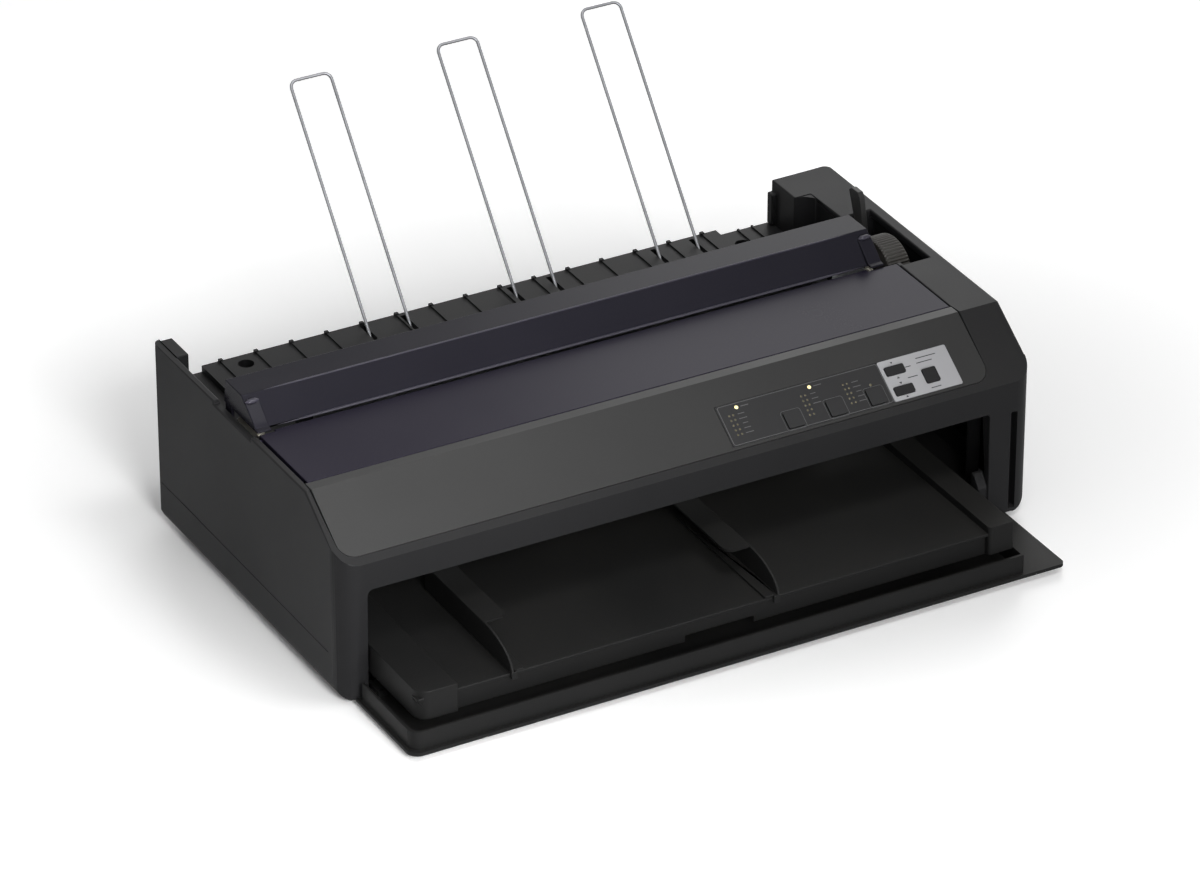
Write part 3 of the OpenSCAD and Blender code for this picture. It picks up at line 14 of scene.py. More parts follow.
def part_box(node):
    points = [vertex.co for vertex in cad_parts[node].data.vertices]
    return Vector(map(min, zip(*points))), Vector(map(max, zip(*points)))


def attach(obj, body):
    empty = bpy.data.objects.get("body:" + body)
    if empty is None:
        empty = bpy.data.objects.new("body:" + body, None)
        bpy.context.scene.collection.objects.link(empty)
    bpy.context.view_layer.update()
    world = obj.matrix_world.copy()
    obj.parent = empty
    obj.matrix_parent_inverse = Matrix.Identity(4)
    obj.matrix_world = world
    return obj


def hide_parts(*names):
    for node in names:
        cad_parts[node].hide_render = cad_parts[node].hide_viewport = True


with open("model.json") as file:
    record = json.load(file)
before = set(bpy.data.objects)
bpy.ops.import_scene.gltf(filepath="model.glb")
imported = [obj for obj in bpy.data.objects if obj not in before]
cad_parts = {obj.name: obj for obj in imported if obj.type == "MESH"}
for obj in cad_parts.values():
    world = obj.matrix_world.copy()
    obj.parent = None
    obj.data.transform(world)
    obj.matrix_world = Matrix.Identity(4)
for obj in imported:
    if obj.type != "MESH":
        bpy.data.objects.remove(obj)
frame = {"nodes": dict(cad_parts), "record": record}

LOG = logging.getLogger("printer")
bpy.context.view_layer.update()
MM = 0.001
NODE_BODY = {n: b for b, ns in frame["record"]["behaviour"]["bodies"].items() for n in ns}
CASE_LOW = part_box("upper_case")[0]
FOOT = 4.0
# Where the case's left front bottom corner lies, in metres
CORNER = np.array([CASE_LOW.x, CASE_LOW.y, FOOT * MM])
# The fascia's slope: the heights of its foot and its ridge, how far it runs (mm) and its angle
SLOPE_Z = 117.7
RIDGE_Z = 157.0
SLOPE_RUN = 58.0
SLOPE = math.atan2(RIDGE_Z - SLOPE_Z, SLOPE_RUN)
# How a copied moulding is read: corners this near are one (m), faces this flat are one face
# and edges this sharp are rounded or stay sharp (degrees)
WELD = 3e-6
FLAT_ANGLE = 0.6
ROUND_ANGLE = 38
SHARP_ANGLE = 28


def srgb(code: int) -> tuple[float, float, float, float]:
    """Turns a colour written as 0xRRGGBB into the linear values that a shader takes.

    Args:
        code: The colour as it looks on a screen.
    Returns:
        Red, green, blue and alpha.
    """
    raw = np.array([(code >> s & 255) / 255 for s in (16, 8, 0)])
    linear = np.where(raw <= 0.04045, raw / 12.92, ((raw + 0.055) / 1.055) ** 2.4)
    return (float(linear[0]), float(linear[1]), float(linear[2]), 1.0)


def at(x: float, y: float, z: float) -> np.ndarray:
    """A point given in millimetres from the case's left front bottom corner, in metres."""
    return np.array([x, y, z]) * MM + CORNER


# ---- Surfaces ----


@dataclass
class Surface:
    """Vertices and faces that are worked out as whole arrays, in metres."""

    points: np.ndarray
    faces: list[list[int]]

    @classmethod
    def grid(cls, p: np.ndarray, close_u: bool = False, close_v: bool = False,
             caps: bool = False) -> "Surface":
        """Joins a grid of points into quads.

        Args:
            p: Points of shape (u, v, 3).
            close_u: Whether the last row joins the first.
            close_v: Whether the last column joins the first.
            caps: Whether the first and last rows are closed by flat faces.
        Returns:
            The surface of the grid.
        """
        nu, nv = p.shape[:2]
        index = np.arange(nu * nv).reshape(nu, nv)
        a = index if close_u else index[:-1]
        b = np.roll(index, -1, 0) if close_u else index[1:]
        if not close_v:
            quads = np.stack([a[:, :-1], b[:, :-1], b[:, 1:], a[:, 1:]], -1)
        else:
            quads = np.stack([a, b, np.roll(b, -1, 1), np.roll(a, -1, 1)], -1)
        faces = quads.reshape(-1, 4).tolist()
        if caps:
            faces += [index[0].tolist(), index[-1][::-1].tolist()]
        return cls(p.reshape(-1, 3), faces)

    @classmethod
    def slab(cls, outline: np.ndarray, z0: float, z1: float, edge: float = 0.0003,
             steps: int = 3) -> "Surface":
        """A plate whose rim is carried round an outline, with rounded upper and lower edges.

        The rim's profile is a quarter circle at each end: at angle t the outline is drawn in by
        edge * (1 - cos t) and stands edge * (1 - sin t) from the plate's face.

        Args:
            outline: Points of shape (n, 2), anticlockwise.
            z0: Height of the lower face.
            z1: Height of the upper face.
            edge: Radius of the rounded edges.
            steps: Steps in each quarter circle.
        Returns:
            The closed plate.
        """
        t = np.linspace(0, math.pi / 2, steps + 1)
        inset = np.concatenate([edge * (1 - np.sin(t)), edge * (1 - np.cos(t))])
        height = np.concatenate([z0 + edge * (1 - np.cos(t)), z1 - edge * (1 - np.sin(t))])
        ahead, back = np.roll(outline, -1, 0) - outline, outline - np.roll(outline, 1, 0)
        n1 = np.stack([ahead[:, 1], -ahead[:, 0]], -1)
        n2 = np.stack([back[:, 1], -back[:, 0]], -1)
        n1 /= np.linalg.norm(n1, axis=1, keepdims=True) + 1e-12
        n2 /= np.linalg.norm(n2, axis=1, keepdims=True) + 1e-12
        out = n1 + n2
        out /= np.maximum((out * n1).sum(1, keepdims=True), 0.3)
        rings = outline[None] - out[None] * inset[:, None, None]
        z = np.broadcast_to(height[:, None, None], rings.shape[:2] + (1,))
        return cls.grid(np.concatenate([rings, z], -1), close_v=True, caps=True)

    @classmethod
    def lathe(cls, profile: np.ndarray, sides: int = 48) -> "Surface":
        """Turns a profile about Z.

        Args:
            profile: Points of shape (n, 2), each a radius and a height.
            sides: Steps round the axis.
        Returns:
            The turned surface, closed where the profile starts and ends.
        """
        a = np.linspace(0, 2 * math.pi, sides, endpoint=False)
        r, h = profile[:, :1], profile[:, 1:]
        p = np.stack([r * np.cos(a), r * np.sin(a), np.broadcast_to(h, (len(profile), sides))], -1)
        return cls.grid(p, close_v=True, caps=True)

    @classmethod
    def tube(cls, path: np.ndarray, radius: float, side: np.ndarray, sides: int) -> "Surface":
        """Carries a circle along a path that lies in one plane.

        Args:
            path: Points of shape (n, 3).
            radius: Half the thickness.
            side: Unit normal of the path's plane.
            sides: Steps round the section.
        Returns:
            The tube, closed at both ends.
        """
        along = np.gradient(path, axis=0)
        along /= np.linalg.norm(along, axis=1, keepdims=True)
        normal = np.cross(side, along)
        a = np.linspace(0, 2 * math.pi, sides, endpoint=False)
        ring = radius * (np.cos(a)[None, :, None] * normal[:, None] +
                         np.sin(a)[None, :, None] * side[None, None])
        return cls.grid(path[:, None] + ring, close_v=True, caps=True)

    @classmethod
    def band(cls, outer: np.ndarray, inner: np.ndarray, z0: float, z1: float) -> "Surface":
        """A flat band between two outlines: four points round its section at each step.

        Args:
            outer: Points of shape (n, 2).
            inner: The inner outline, with as many points.
            z0: Height of the lower face.
            z1: Height of the upper face.
        Returns:
            The closed band.
        """
        low, high = np.full((len(outer), 1), z0), np.full((len(outer), 1), z1)
        section = [np.hstack(pair) for pair in ((outer, low), (outer, high), (inner, high), (inner, low))]
        return cls.grid(np.stack(section, 1), close_u=True, close_v=True)

    @classmethod
    def screw(cls, radius: float, dome: float, sink: float) -> "Surface":
        """A screw's head with a cross recess.

        At share q of the radius the head stands dome * (1 - q^2) high, less sink where the nearer
        arm of the cross is closer than 0.17 of the radius and q is under 0.62.

        Args:
            radius: Radius of the head.
            dome: Height of its middle above its rim.
            sink: Depth of the recess.
        Returns:
            The head, with its rim carried down by the depth of the recess.
        """
        q = np.linspace(0.02, 1, 13)[:, None]
        a = np.linspace(0, 2 * math.pi, 64, endpoint=False)[None]
        x, y = q * np.cos(a), q * np.sin(a)
        arm = np.clip((0.17 - np.minimum(abs(x), abs(y))) / 0.08, 0, 1)
        z = dome * (1 - q ** 2) - sink * arm * np.clip((0.62 - q) / 0.1, 0, 1)
        top = np.stack([radius * x, radius * y, z], -1)
        rim = top[-1:] * [1, 1, 0] - [0, 0, sink + dome]
        return cls.grid(np.concatenate([top, rim]), close_v=True, caps=True)

    def placed(self, matrix: Matrix) -> "Surface":
        """The surface moved by a matrix."""
        m = np.array(matrix)
        return Surface(self.points @ m[:3, :3].T + m[:3, 3], self.faces)

    def moved(self, offset: np.ndarray) -> "Surface":
        """The surface moved by an offset in metres."""
        return Surface(self.points + np.asarray(offset), self.faces)

    def build(self, name: str, material: bpy.types.Material) -> bpy.types.Object:
        """Makes the object at the origin, with its normals turned outwards.

        Args:
            name: The piece's name.
            material: Its material.
        Returns:
            The object.
        """
        mesh = bpy.data.meshes.new(name)
        mesh.from_pydata(self.points.tolist(), [], self.faces)
        obj = bpy.data.objects.new(name, mesh)
        bpy.context.scene.collection.objects.link(obj)
        bm = bmesh.new()
        bm.from_mesh(mesh)
        bmesh.ops.remove_doubles(bm, verts=bm.verts, dist=1e-7)
        bmesh.ops.recalc_face_normals(bm, faces=bm.faces)
        mark_edges(bm, 35)
        bm.to_mesh(mesh)
        bm.free()
        mesh.materials.append(material)
        return obj


def mark_edges(bm: bmesh.types.BMesh, degrees: float) -> None:
    """Shades a mesh smooth, apart from edges that turn by more than an angle.

    Args:
        bm: The mesh that is being edited.
        degrees: The angle.
    """
    limit = math.radians(degrees)
    for f in bm.faces:
        f.smooth = True
    for e in bm.edges:
        e.smooth = len(e.link_faces) == 2 and e.calc_face_angle(0) < limit


def joined(parts: list[Surface]) -> Surface:
    """Several surfaces as one, with their vertices in one array.

    Args:
        parts: The surfaces.
    Returns:
        The one surface.
    """
    starts = np.cumsum([0] + [len(p.points) for p in parts[:-1]])
    faces = [[i + int(s) for i in f] for p, s in zip(parts, starts) for f in p.faces]
    return Surface(np.concatenate([p.points for p in parts]), faces)


def rounded(w: float, h: float, r: float, n: int = 6) -> np.ndarray:
    """Outline of a rounded rectangle about the origin, anticlockwise.

    Args:
        w: Width.
        h: Height.
        r: Radius of the corners.
        n: Steps in each corner.
    Returns:
        Points of shape (4 * (n + 1), 2).
    """
    t = np.linspace(0, math.pi / 2, n + 1)
    quarter = np.stack([np.cos(t), np.sin(t)], -1) * r
    turns = []
    for k, (sx, sy) in enumerate(((1, 1), (-1, 1), (-1, -1), (1, -1))):
        c, s = math.cos(k * math.pi / 2), math.sin(k * math.pi / 2)
        corner = quarter @ np.array([[c, s], [-s, c]])
        turns.append(corner + [sx * (w / 2 - r), sy * (h / 2 - r)])
    return np.concatenate(turns)


def box_slab(size: tuple[float, float, float], low: tuple[float, float, float],
             edge: float) -> Surface:
    """A rounded block in body millimetres, from its size and its lowest corner.

    Args:
        size: Width, depth and height.
        low: Its lowest corner.
        edge: Radius of its edges.
    Returns:
        The block, in metres and in its place.
    """
    w, d, h = size
    flat = rounded(w * MM, d * MM, min(edge * 1.5, w / 3, d / 3) * MM, 3)
    middle = at(low[0] + w / 2, low[1] + d / 2, low[2])
    return Surface.slab(flat, 0, h * MM, min(edge, h / 3) * MM, 2).moved(middle)


def turn(axis: str, degrees: float, where: np.ndarray) -> Matrix:
    """A turn about an axis through the origin, followed by a move to a place."""
    return Matrix.Translation(Vector(where)) @ Matrix.Rotation(math.radians(degrees), 4, axis)


def slope_place(x: float, s: float, lift: float = 0.0) -> Matrix:
    """The fascia's own axes: X along it, Y up the slope and Z out of its surface.

    Args:
        x: Distance along the case in mm.
        s: Distance up the slope in mm.
        lift: Height above the surface in mm.
    Returns:
        The matrix that puts a surface there.
    """
    y = s * math.cos(SLOPE) - lift * math.sin(SLOPE)
    z = SLOPE_Z + s * math.sin(SLOPE) + lift * math.cos(SLOPE)
    return turn("X", math.degrees(SLOPE), at(x, y, z))


# ---- Shader groups and finishes ----


class Graph:
    """A short way to lay nodes in a tree."""

    def __init__(self, tree: bpy.types.NodeTree) -> None:
        """Keeps the tree."""
        self.tree = tree

    def node(self, kind: str, props: dict | None = None, **inputs: object) -> bpy.types.Node:
        """Adds a node.

        Args:
            kind: The node's type.
            props: Values of its properties.
            inputs: Values or sockets for its inputs; an underscore stands for a space.
        Returns:
            The node.
        """
        n = self.tree.nodes.new(kind)
        for key, value in (props or {}).items():
            setattr(n, key, value)
        self.wire(n, **inputs)
        return n

    def wire(self, n: bpy.types.Node, **inputs: object) -> None:
        """Sets a node's inputs.

        Args:
            n: The node.
            inputs: Values or sockets; a number names an input by its place.
        """
        for key, value in inputs.items():
            name = key.replace("_", " ")
            socket = n.inputs[int(name) if name.isdigit() else name]
            if isinstance(value, bpy.types.NodeSocket):
                self.tree.links.new(value, socket)
            else:
                socket.default_value = value

    def where(self) -> bpy.types.NodeSocket:
        """The object's own coordinates."""
        return self.node("ShaderNodeTexCoord").outputs["Object"]

    def noise(self, where: bpy.types.NodeSocket, scale: object, detail: float) -> bpy.types.NodeSocket:
        """A Noise Texture's value."""
        return self.node("ShaderNodeTexNoise", Vector=where, Scale=scale, Detail=detail).outputs[0]

    def group(self, tree: bpy.types.NodeTree, **inputs: object) -> bpy.types.Node:
        """A group node with its inputs set."""
        return self.node("ShaderNodeGroup", {"node_tree": tree}, **inputs)

    def math(self, op: str, a: object, b: object) -> bpy.types.NodeSocket:
        """A Math node's result."""
        return self.node("ShaderNodeMath", {"operation": op}, **{"0": a, "1": b}).outputs[0]

    def ramp(self, value: bpy.types.NodeSocket, low: float, high: float) -> bpy.types.NodeSocket:
        """Maps low to 0 and high to 1, clamped."""
        return self.node("ShaderNodeMapRange", {"clamp": True}, Value=value, From_Min=low,
                         From_Max=high).outputs[0]

    def mix(self, factor: object, a: object, b: object) -> bpy.types.NodeSocket:
        """Mixes two colours."""
        return self.node("ShaderNodeMix", {"data_type": "RGBA"}, **{"0": factor, "6": a, "7": b}).outputs[2]


def new_group(name: str, inputs: dict[str, float], outputs: tuple[str, ...]
              ) -> tuple[Graph, bpy.types.Node, bpy.types.Node]:
    """Starts a node group whose sockets are all plain values.

    Args:
        name: The group's name.
        inputs: Each input with its default.
        outputs: The outputs.
    Returns:
        The group's graph, and its input and output nodes.
    """
    tree = bpy.data.node_groups.new(name, "ShaderNodeTree")
    for key, default in inputs.items():
        tree.interface.new_socket(key, in_out="INPUT", socket_type="NodeSocketFloat").default_value = default
    for key in outputs:
        tree.interface.new_socket(key, in_out="OUTPUT", socket_type="NodeSocketFloat")
    g = Graph(tree)
    return g, g.node("NodeGroupInput"), g.node("NodeGroupOutput")


@cache
def grain_group() -> bpy.types.NodeTree:
    """Moulded grain: fine pits over a slow swell, as a height and as a tone from 0 to 1.

    Returns:
        The group.
    """
    g, gin, gout = new_group("moulded grain", {"Pit Scale": 1400.0, "Swell Scale": 9.0}, ("Height", "Tone"))
    where, scale = g.where(), gin.outputs["Pit Scale"]
    fine = g.node("ShaderNodeTexNoise", Vector=where, Scale=scale, Detail=3.0, Roughness=0.6)
    pits = g.node("ShaderNodeTexVoronoi", Vector=where, Scale=scale)
    slow = g.noise(where, gin.outputs["Swell Scale"], 4.0)
    height = g.math("ADD", g.math("MULTIPLY", fine.outputs[0], 0.7),
                    g.math("MULTIPLY", pits.outputs["Distance"], 0.5))
    g.tree.links.new(height, gout.inputs["Height"])
    g.tree.links.new(g.ramp(slow, 0.3, 0.7), gout.inputs["Tone"])
    return g.tree


@cache
def wear_and_highlight_group() -> bpy.types.NodeTree:
    """Edge wear and painted highlight: a broken mask that grows where a normal blurred over 0.6 mm leaves the
    true one; where it grows the plastic is lightened, both for rubbed edges and for edges that catch the
    light.

    Returns:
        The group.
    """
    g, gin, gout = new_group("edge wear and painted highlight", {"Amount": 0.5}, ("Mask",))
    blurred = g.node("ShaderNodeBevel", {"samples": 4}, Radius=0.6 * MM).outputs[0]
    true = g.node("ShaderNodeNewGeometry").outputs["Normal"]
    same = g.node("ShaderNodeVectorMath", {"operation": "DOT_PRODUCT"}, **{"0": blurred, "1": true})
    bulge = g.ramp(g.math("SUBTRACT", 1.0, same.outputs["Value"]), 0.03, 0.25)
    patch = g.ramp(g.noise(g.where(), 60.0, 5.0), 0.35, 0.65)
    mask = g.math("MULTIPLY", g.math("MULTIPLY", bulge, g.math("ADD", patch, 0.4)), gin.outputs["Amount"])
    g.tree.links.new(mask, gout.inputs["Mask"])
    return g.tree


@cache
def dust_group() -> bpy.types.NodeTree:
    """Settled dust: a mask that grows where the surface faces up, in soft patches.

    Returns:
        The group.
    """
    g, gin, gout = new_group("settled dust", {"Amount": 0.1}, ("Mask",))
    where = g.where()
    normal = g.node("ShaderNodeNewGeometry").outputs["Normal"]
    up = g.node("ShaderNodeSeparateXYZ", Vector=normal).outputs[2]
    speck = g.ramp(g.noise(where, 900.0, 1.0), 0.6, 0.75)
    soft = g.math("ADD", g.ramp(g.noise(where, 5.0, 3.0), 0.35, 0.7), g.math("MULTIPLY", speck, 0.8))
    mask = g.math("MULTIPLY", g.math("MULTIPLY", g.ramp(up, 0.5, 1.0), soft), gin.outputs["Amount"])
    g.tree.links.new(mask, gout.inputs["Mask"])
    return g.tree


@cache
def drawn_group() -> bpy.types.NodeTree:
    """Drawn lines: noise stretched a hundredfold along X, as a height and as a tone.

    Returns:
        The group.
    """
    g, gin, gout = new_group("drawn lines", {"Scale": 900.0}, ("Height", "Tone"))
    squeezed = g.node("ShaderNodeMapping", Vector=g.where(), Scale=(0.01, 1.0, 1.0))
    lines = g.noise(squeezed.outputs[0], gin.outputs["Scale"], 2.0)
    g.tree.links.new(lines, gout.inputs["Height"])
    g.tree.links.new(g.ramp(lines, 0.3, 0.7), gout.inputs["Tone"])
    return g.tree


def new_material(name: str, tone: int) -> tuple[bpy.types.Material, Graph, bpy.types.Node]:
    """Starts a material.

    Args:
        name: Its name.
        tone: Its colour in a plain view.
    Returns:
        The material, its graph and its shader.
    """
    mat = bpy.data.materials.new(name)
    mat.use_nodes = True
    mat.diffuse_color = srgb(tone)
    return mat, Graph(mat.node_tree), mat.node_tree.nodes["Principled BSDF"]


def scaled(tone: int, factor: float, lift: float = 0.0) -> tuple[float, ...]:
    """A tone made darker or lighter by a factor and a lift, in linear values."""
    return tuple(min(1.0, c * factor + lift) for c in srgb(tone)[:3]) + (1,)


@dataclass(frozen=True)
class Plastic:
    """A moulded plastic: its tone, its gloss and how its surface is broken up."""

    name: str
    tone: int
    high_tone: int
    roughness: float
    specular: float = 0.35
    grain: float = 0.12
    pit_scale: float = 1400.0
    swell: float = 9.0
    wear_and_highlight: float = 0.0
    dust: float = 0.05

    @cache
    def make(self) -> bpy.types.Material:
        """Makes the material, once.

        Returns:
            The material.
        """
        mat, g, shader = new_material(self.name, self.tone)
        grain = g.group(grain_group(), Pit_Scale=self.pit_scale, Swell_Scale=self.swell)
        dust = g.group(dust_group(), Amount=self.dust).outputs["Mask"]
        base = g.mix(grain.outputs["Tone"], srgb(self.tone), srgb(self.high_tone))
        # The mask lightens the plastic at its edges: partly rubbed wear, partly a painted highlight where
        # edges catch the light
        if self.wear_and_highlight:
            wear_and_highlight = g.group(wear_and_highlight_group(), Amount=self.wear_and_highlight)
            base = g.mix(wear_and_highlight.outputs["Mask"], base, scaled(self.high_tone, 2.6, 0.01))
        rough = g.math("ADD", g.math("MULTIPLY", grain.outputs["Tone"], 0.08), self.roughness)
        bump = g.node("ShaderNodeBump", Height=grain.outputs["Height"], Strength=self.grain,
                      Distance=0.0002)
        g.wire(shader, Base_Color=g.mix(dust, base, srgb(0x9A968E)), Normal=bump.outputs[0],
               Roughness=g.math("ADD", rough, g.math("MULTIPLY", dust, 0.5)))
        shader.inputs["Specular IOR Level"].default_value = self.specular
        return mat


@dataclass(frozen=True)
class Metal:
    """A plain or drawn metal."""

    name: str
    tone: int
    roughness: float
    lines: float = 0.15

    @cache
    def make(self) -> bpy.types.Material:
        """Makes the material, once.

        Returns:
            The material.
        """
        mat, g, shader = new_material(self.name, self.tone)
        drawn = g.group(drawn_group())
        grain = g.group(grain_group(), Swell_Scale=22.0)
        bump = g.node("ShaderNodeBump", Height=drawn.outputs["Height"], Strength=self.lines,
                      Distance=0.0001)
        g.wire(shader, Base_Color=g.mix(grain.outputs["Tone"], scaled(self.tone, 0.82), srgb(self.tone)),
               Roughness=g.math("ADD", g.math("MULTIPLY", drawn.outputs["Tone"], 0.14), self.roughness),
               Normal=bump.outputs[0])
        shader.inputs["Metallic"].default_value = 1.0
        return mat


@dataclass(frozen=True)
class Lamp:
    """A lamp's lens, lit or dark."""

    name: str
    tone: int
    glow: float

    @cache
    def make(self) -> bpy.types.Material:
        """Makes the material, once.

        Returns:
            The material.
        """
        mat, g, shader = new_material(self.name, self.tone)
        grain = g.group(grain_group(), Pit_Scale=2500.0)
        colour = g.mix(grain.outputs["Tone"], scaled(self.tone, 0.7), srgb(self.tone))
        g.wire(shader, Base_Color=colour, Emission_Color=colour)
        shader.inputs["Emission Strength"].default_value = self.glow
        shader.inputs["Roughness"].default_value = 0.25
        return mat


class Finish(Enum):
    """The printer's finishes, each with the record's slot that it belongs to."""

    CASE = (Plastic("satin_charcoal_case", 0x1E1E1F, 0x212122, 0.42, 0.09, dust=0.02), "case_plastic")
    FASCIA = (Plastic("satin_fascia", 0x222222, 0x252525, 0.38, 0.2, grain=0.06, dust=0.015),
              "fascia_plastic")
    SMOKE = (Plastic("smoked_cover", 0x201D2A, 0x221F2C, 0.2, 0.05, grain=0.02, swell=5.0, dust=0.02),
             "smoked_plastic")
    BAR = (Plastic("smoked_guide_cover", 0x1D1C23, 0x1F1E26, 0.2, 0.055, grain=0.02, swell=5.0,
                   dust=0.02), "smoked_plastic")
    # Lighter than the bar it sits on: a painted highlight along the bar's edges and on its tab rolls
    PAINTED_HIGHLIGHT = (Plastic("bead_painted_highlight", 0x3A3842, 0x403E48, 0.3, 0.2, grain=0.02, dust=0.0), "smoked_plastic")
    BLACK = (Plastic("satin_black", 0x171717, 0x1A1A1A, 0.42, 0.09, dust=0.02), "black_plastic")
    GLOSS = (Plastic("overlay_film", 0x222223, 0x242425, 0.36, 0.16, grain=0.02, dust=0.01), "black_gloss")
    KEY = (Plastic("key_rubber", 0x1A1A1B, 0x1E1E1F, 0.5, 0.12, grain=0.05, wear_and_highlight=0.4, dust=0.01),
           "black_plastic")
    KNOB = (Plastic("fluted_knob", 0x24221F, 0x2A2825, 0.5, 0.35, grain=0.1, wear_and_highlight=0.6, dust=0.03),
            "black_plastic")
    SILVER = (Plastic("silver_print", 0x97979A, 0xA0A0A2, 0.45, 0.35, grain=0.03, pit_scale=3000.0,
                      dust=0.0), "plate_silver")
    INK = (Plastic("dark_print", 0x28282A, 0x2E2E30, 0.5, 0.3, grain=0.0, dust=0.0), "black_plastic")
    PALE_INK = (Plastic("pale_print", 0x4A4A4B, 0x525253, 0.5, 0.3, grain=0.0, dust=0.0), "plate_silver")
    NATURAL = (Plastic("natural_nylon", 0xC9C5B9, 0xD6D2C6, 0.4, 0.45, grain=0.05, wear_and_highlight=0.1),
               "natural_plastic")
    BLUE = (Plastic("blue_nylon", 0x24497F, 0x2D568F, 0.4, 0.45, wear_and_highlight=0.3), "blue_plastic")
    RUBBER = (Plastic("ground_rubber", 0x1B1B1B, 0x242423, 0.62, 0.25, grain=0.2, pit_scale=2200.0,
                      wear_and_highlight=0.2), "rubber")
    BOARD = (Plastic("coated_board", 0x0E4A2A, 0x12583A, 0.38, 0.5, grain=0.04, wear_and_highlight=0.1), "board")
    TAPE = (Plastic("winding_tape", 0xB08A2C, 0xBF9A3C, 0.35, 0.5, grain=0.03), "natural_plastic")
    STEEL = (Metal("plated_steel", 0xA4A6A8, 0.36), "steel")
    BRIGHT = (Metal("bright_wire", 0x8C8D90, 0.3, 0.03), "wire")
    GOLD = (Metal("plated_contact", 0xD8B060, 0.25, 0.03), "steel")
    LIT = (Lamp("lit_lamp", 0xFFF1B0, 0.9), "lamp_plastic")
    DIM = (Lamp("dim_lamp", 0x55503A, 0.02), "lamp_plastic")

    def material(self) -> bpy.types.Material:
        """The finish's material."""
        return self.value[0].make()

    @property
    def slot(self) -> str:
        """The record's slot."""
        return self.value[1]


# ---- Pieces ----


def keep(obj: bpy.types.Object, body: str, finish: Finish, *nodes: str) -> None:
    """Lets a new piece ride on a body and hides the CAD nodes that it replaces.

    Args:
        obj: The piece.
        body: The CAD body that it moves with.
        finish: Its finish; not used.
        nodes: CAD nodes that it replaces.
    """
    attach(obj, body)
    if nodes:
        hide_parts(*nodes)
    LOG.info("piece %s on %s", obj.name, body)


def lay(name: str, parts: list[Surface], finish: Finish, host: str, *nodes: str) -> None:
    """Builds surfaces as one new piece.

    Args:
        name: The piece's name.
        parts: Its surfaces.
        finish: Its finish.
        host: CAD node whose body it moves with.
        nodes: CAD nodes that it replaces.
    """
    keep(joined(parts).build(name, finish.material()), NODE_BODY[host], finish, *nodes)


def dress(node: str, finish: Finish) -> None:
    """Gives a CAD node its finish and leaves its shape alone.

    Args:
        node: The CAD node.
        finish: Its finish.
    """
    obj = frame["nodes"][node]
    obj.data.materials.clear()
    obj.data.materials.append(finish.material())


def wide_edges(bm: bmesh.types.BMesh, width: float) -> None:
    """Marks the sharp edges that have room for a rounding: both faces at least 1.5 times as wide.

    Args:
        bm: The mesh that is being edited.
        width: Width of the rounding in metres.
    """
    weight = bm.edges.layers.float.new("bevel_weight_edge")
    breadth = {f: 2 * f.calc_area() / max(f.calc_perimeter(), 1e-9) for f in bm.faces}
    for e in bm.edges:
        sharp = len(e.link_faces) == 2 and e.calc_face_angle(0) > math.radians(ROUND_ANGLE)
        if sharp and e.calc_length() > width and min(breadth[f] for f in e.link_faces) > 1.5 * width:
            e[weight] = 1.0


def softened(node: str, finish: Finish, width: float = 0.5, segments: int = 2) -> None:
    """Puts a copy with rounded edges, as a mould leaves them, in a CAD node's place.

    Args:
        node: The CAD node.
        finish: Its finish.
        width: Width of the rounding in mm.
        segments: Steps across it.
    """
    mesh = bpy.data.meshes.new(node + "_moulding")
    bm = bmesh.new()
    bm.from_mesh(frame["nodes"][node].data)
    bmesh.ops.remove_doubles(bm, verts=bm.verts, dist=WELD)
    flat = math.radians(FLAT_ANGLE)
    bmesh.ops.dissolve_limit(bm, angle_limit=flat, verts=bm.verts, edges=bm.edges)
    mark_edges(bm, SHARP_ANGLE)
    wide_edges(bm, width * MM)
    bm.to_mesh(mesh)
    bm.free()
    if "custom_normal" in mesh.attributes:
        mesh.attributes.remove(mesh.attributes["custom_normal"])
    obj = bpy.data.objects.new(node + "_moulding", mesh)
    bpy.context.scene.collection.objects.link(obj)
    mesh.materials.append(finish.material())
    bevel = obj.modifiers.new("rounded edges", "BEVEL")
    bevel.width = width * MM
    bevel.segments = segments
    bevel.limit_method = "WEIGHT"
    bevel.use_clamp_overlap = False
    faces = obj.modifiers.new("flat faces", "WEIGHTED_NORMAL")
    faces.keep_sharp = True
    keep(obj, NODE_BODY[node], finish, node)


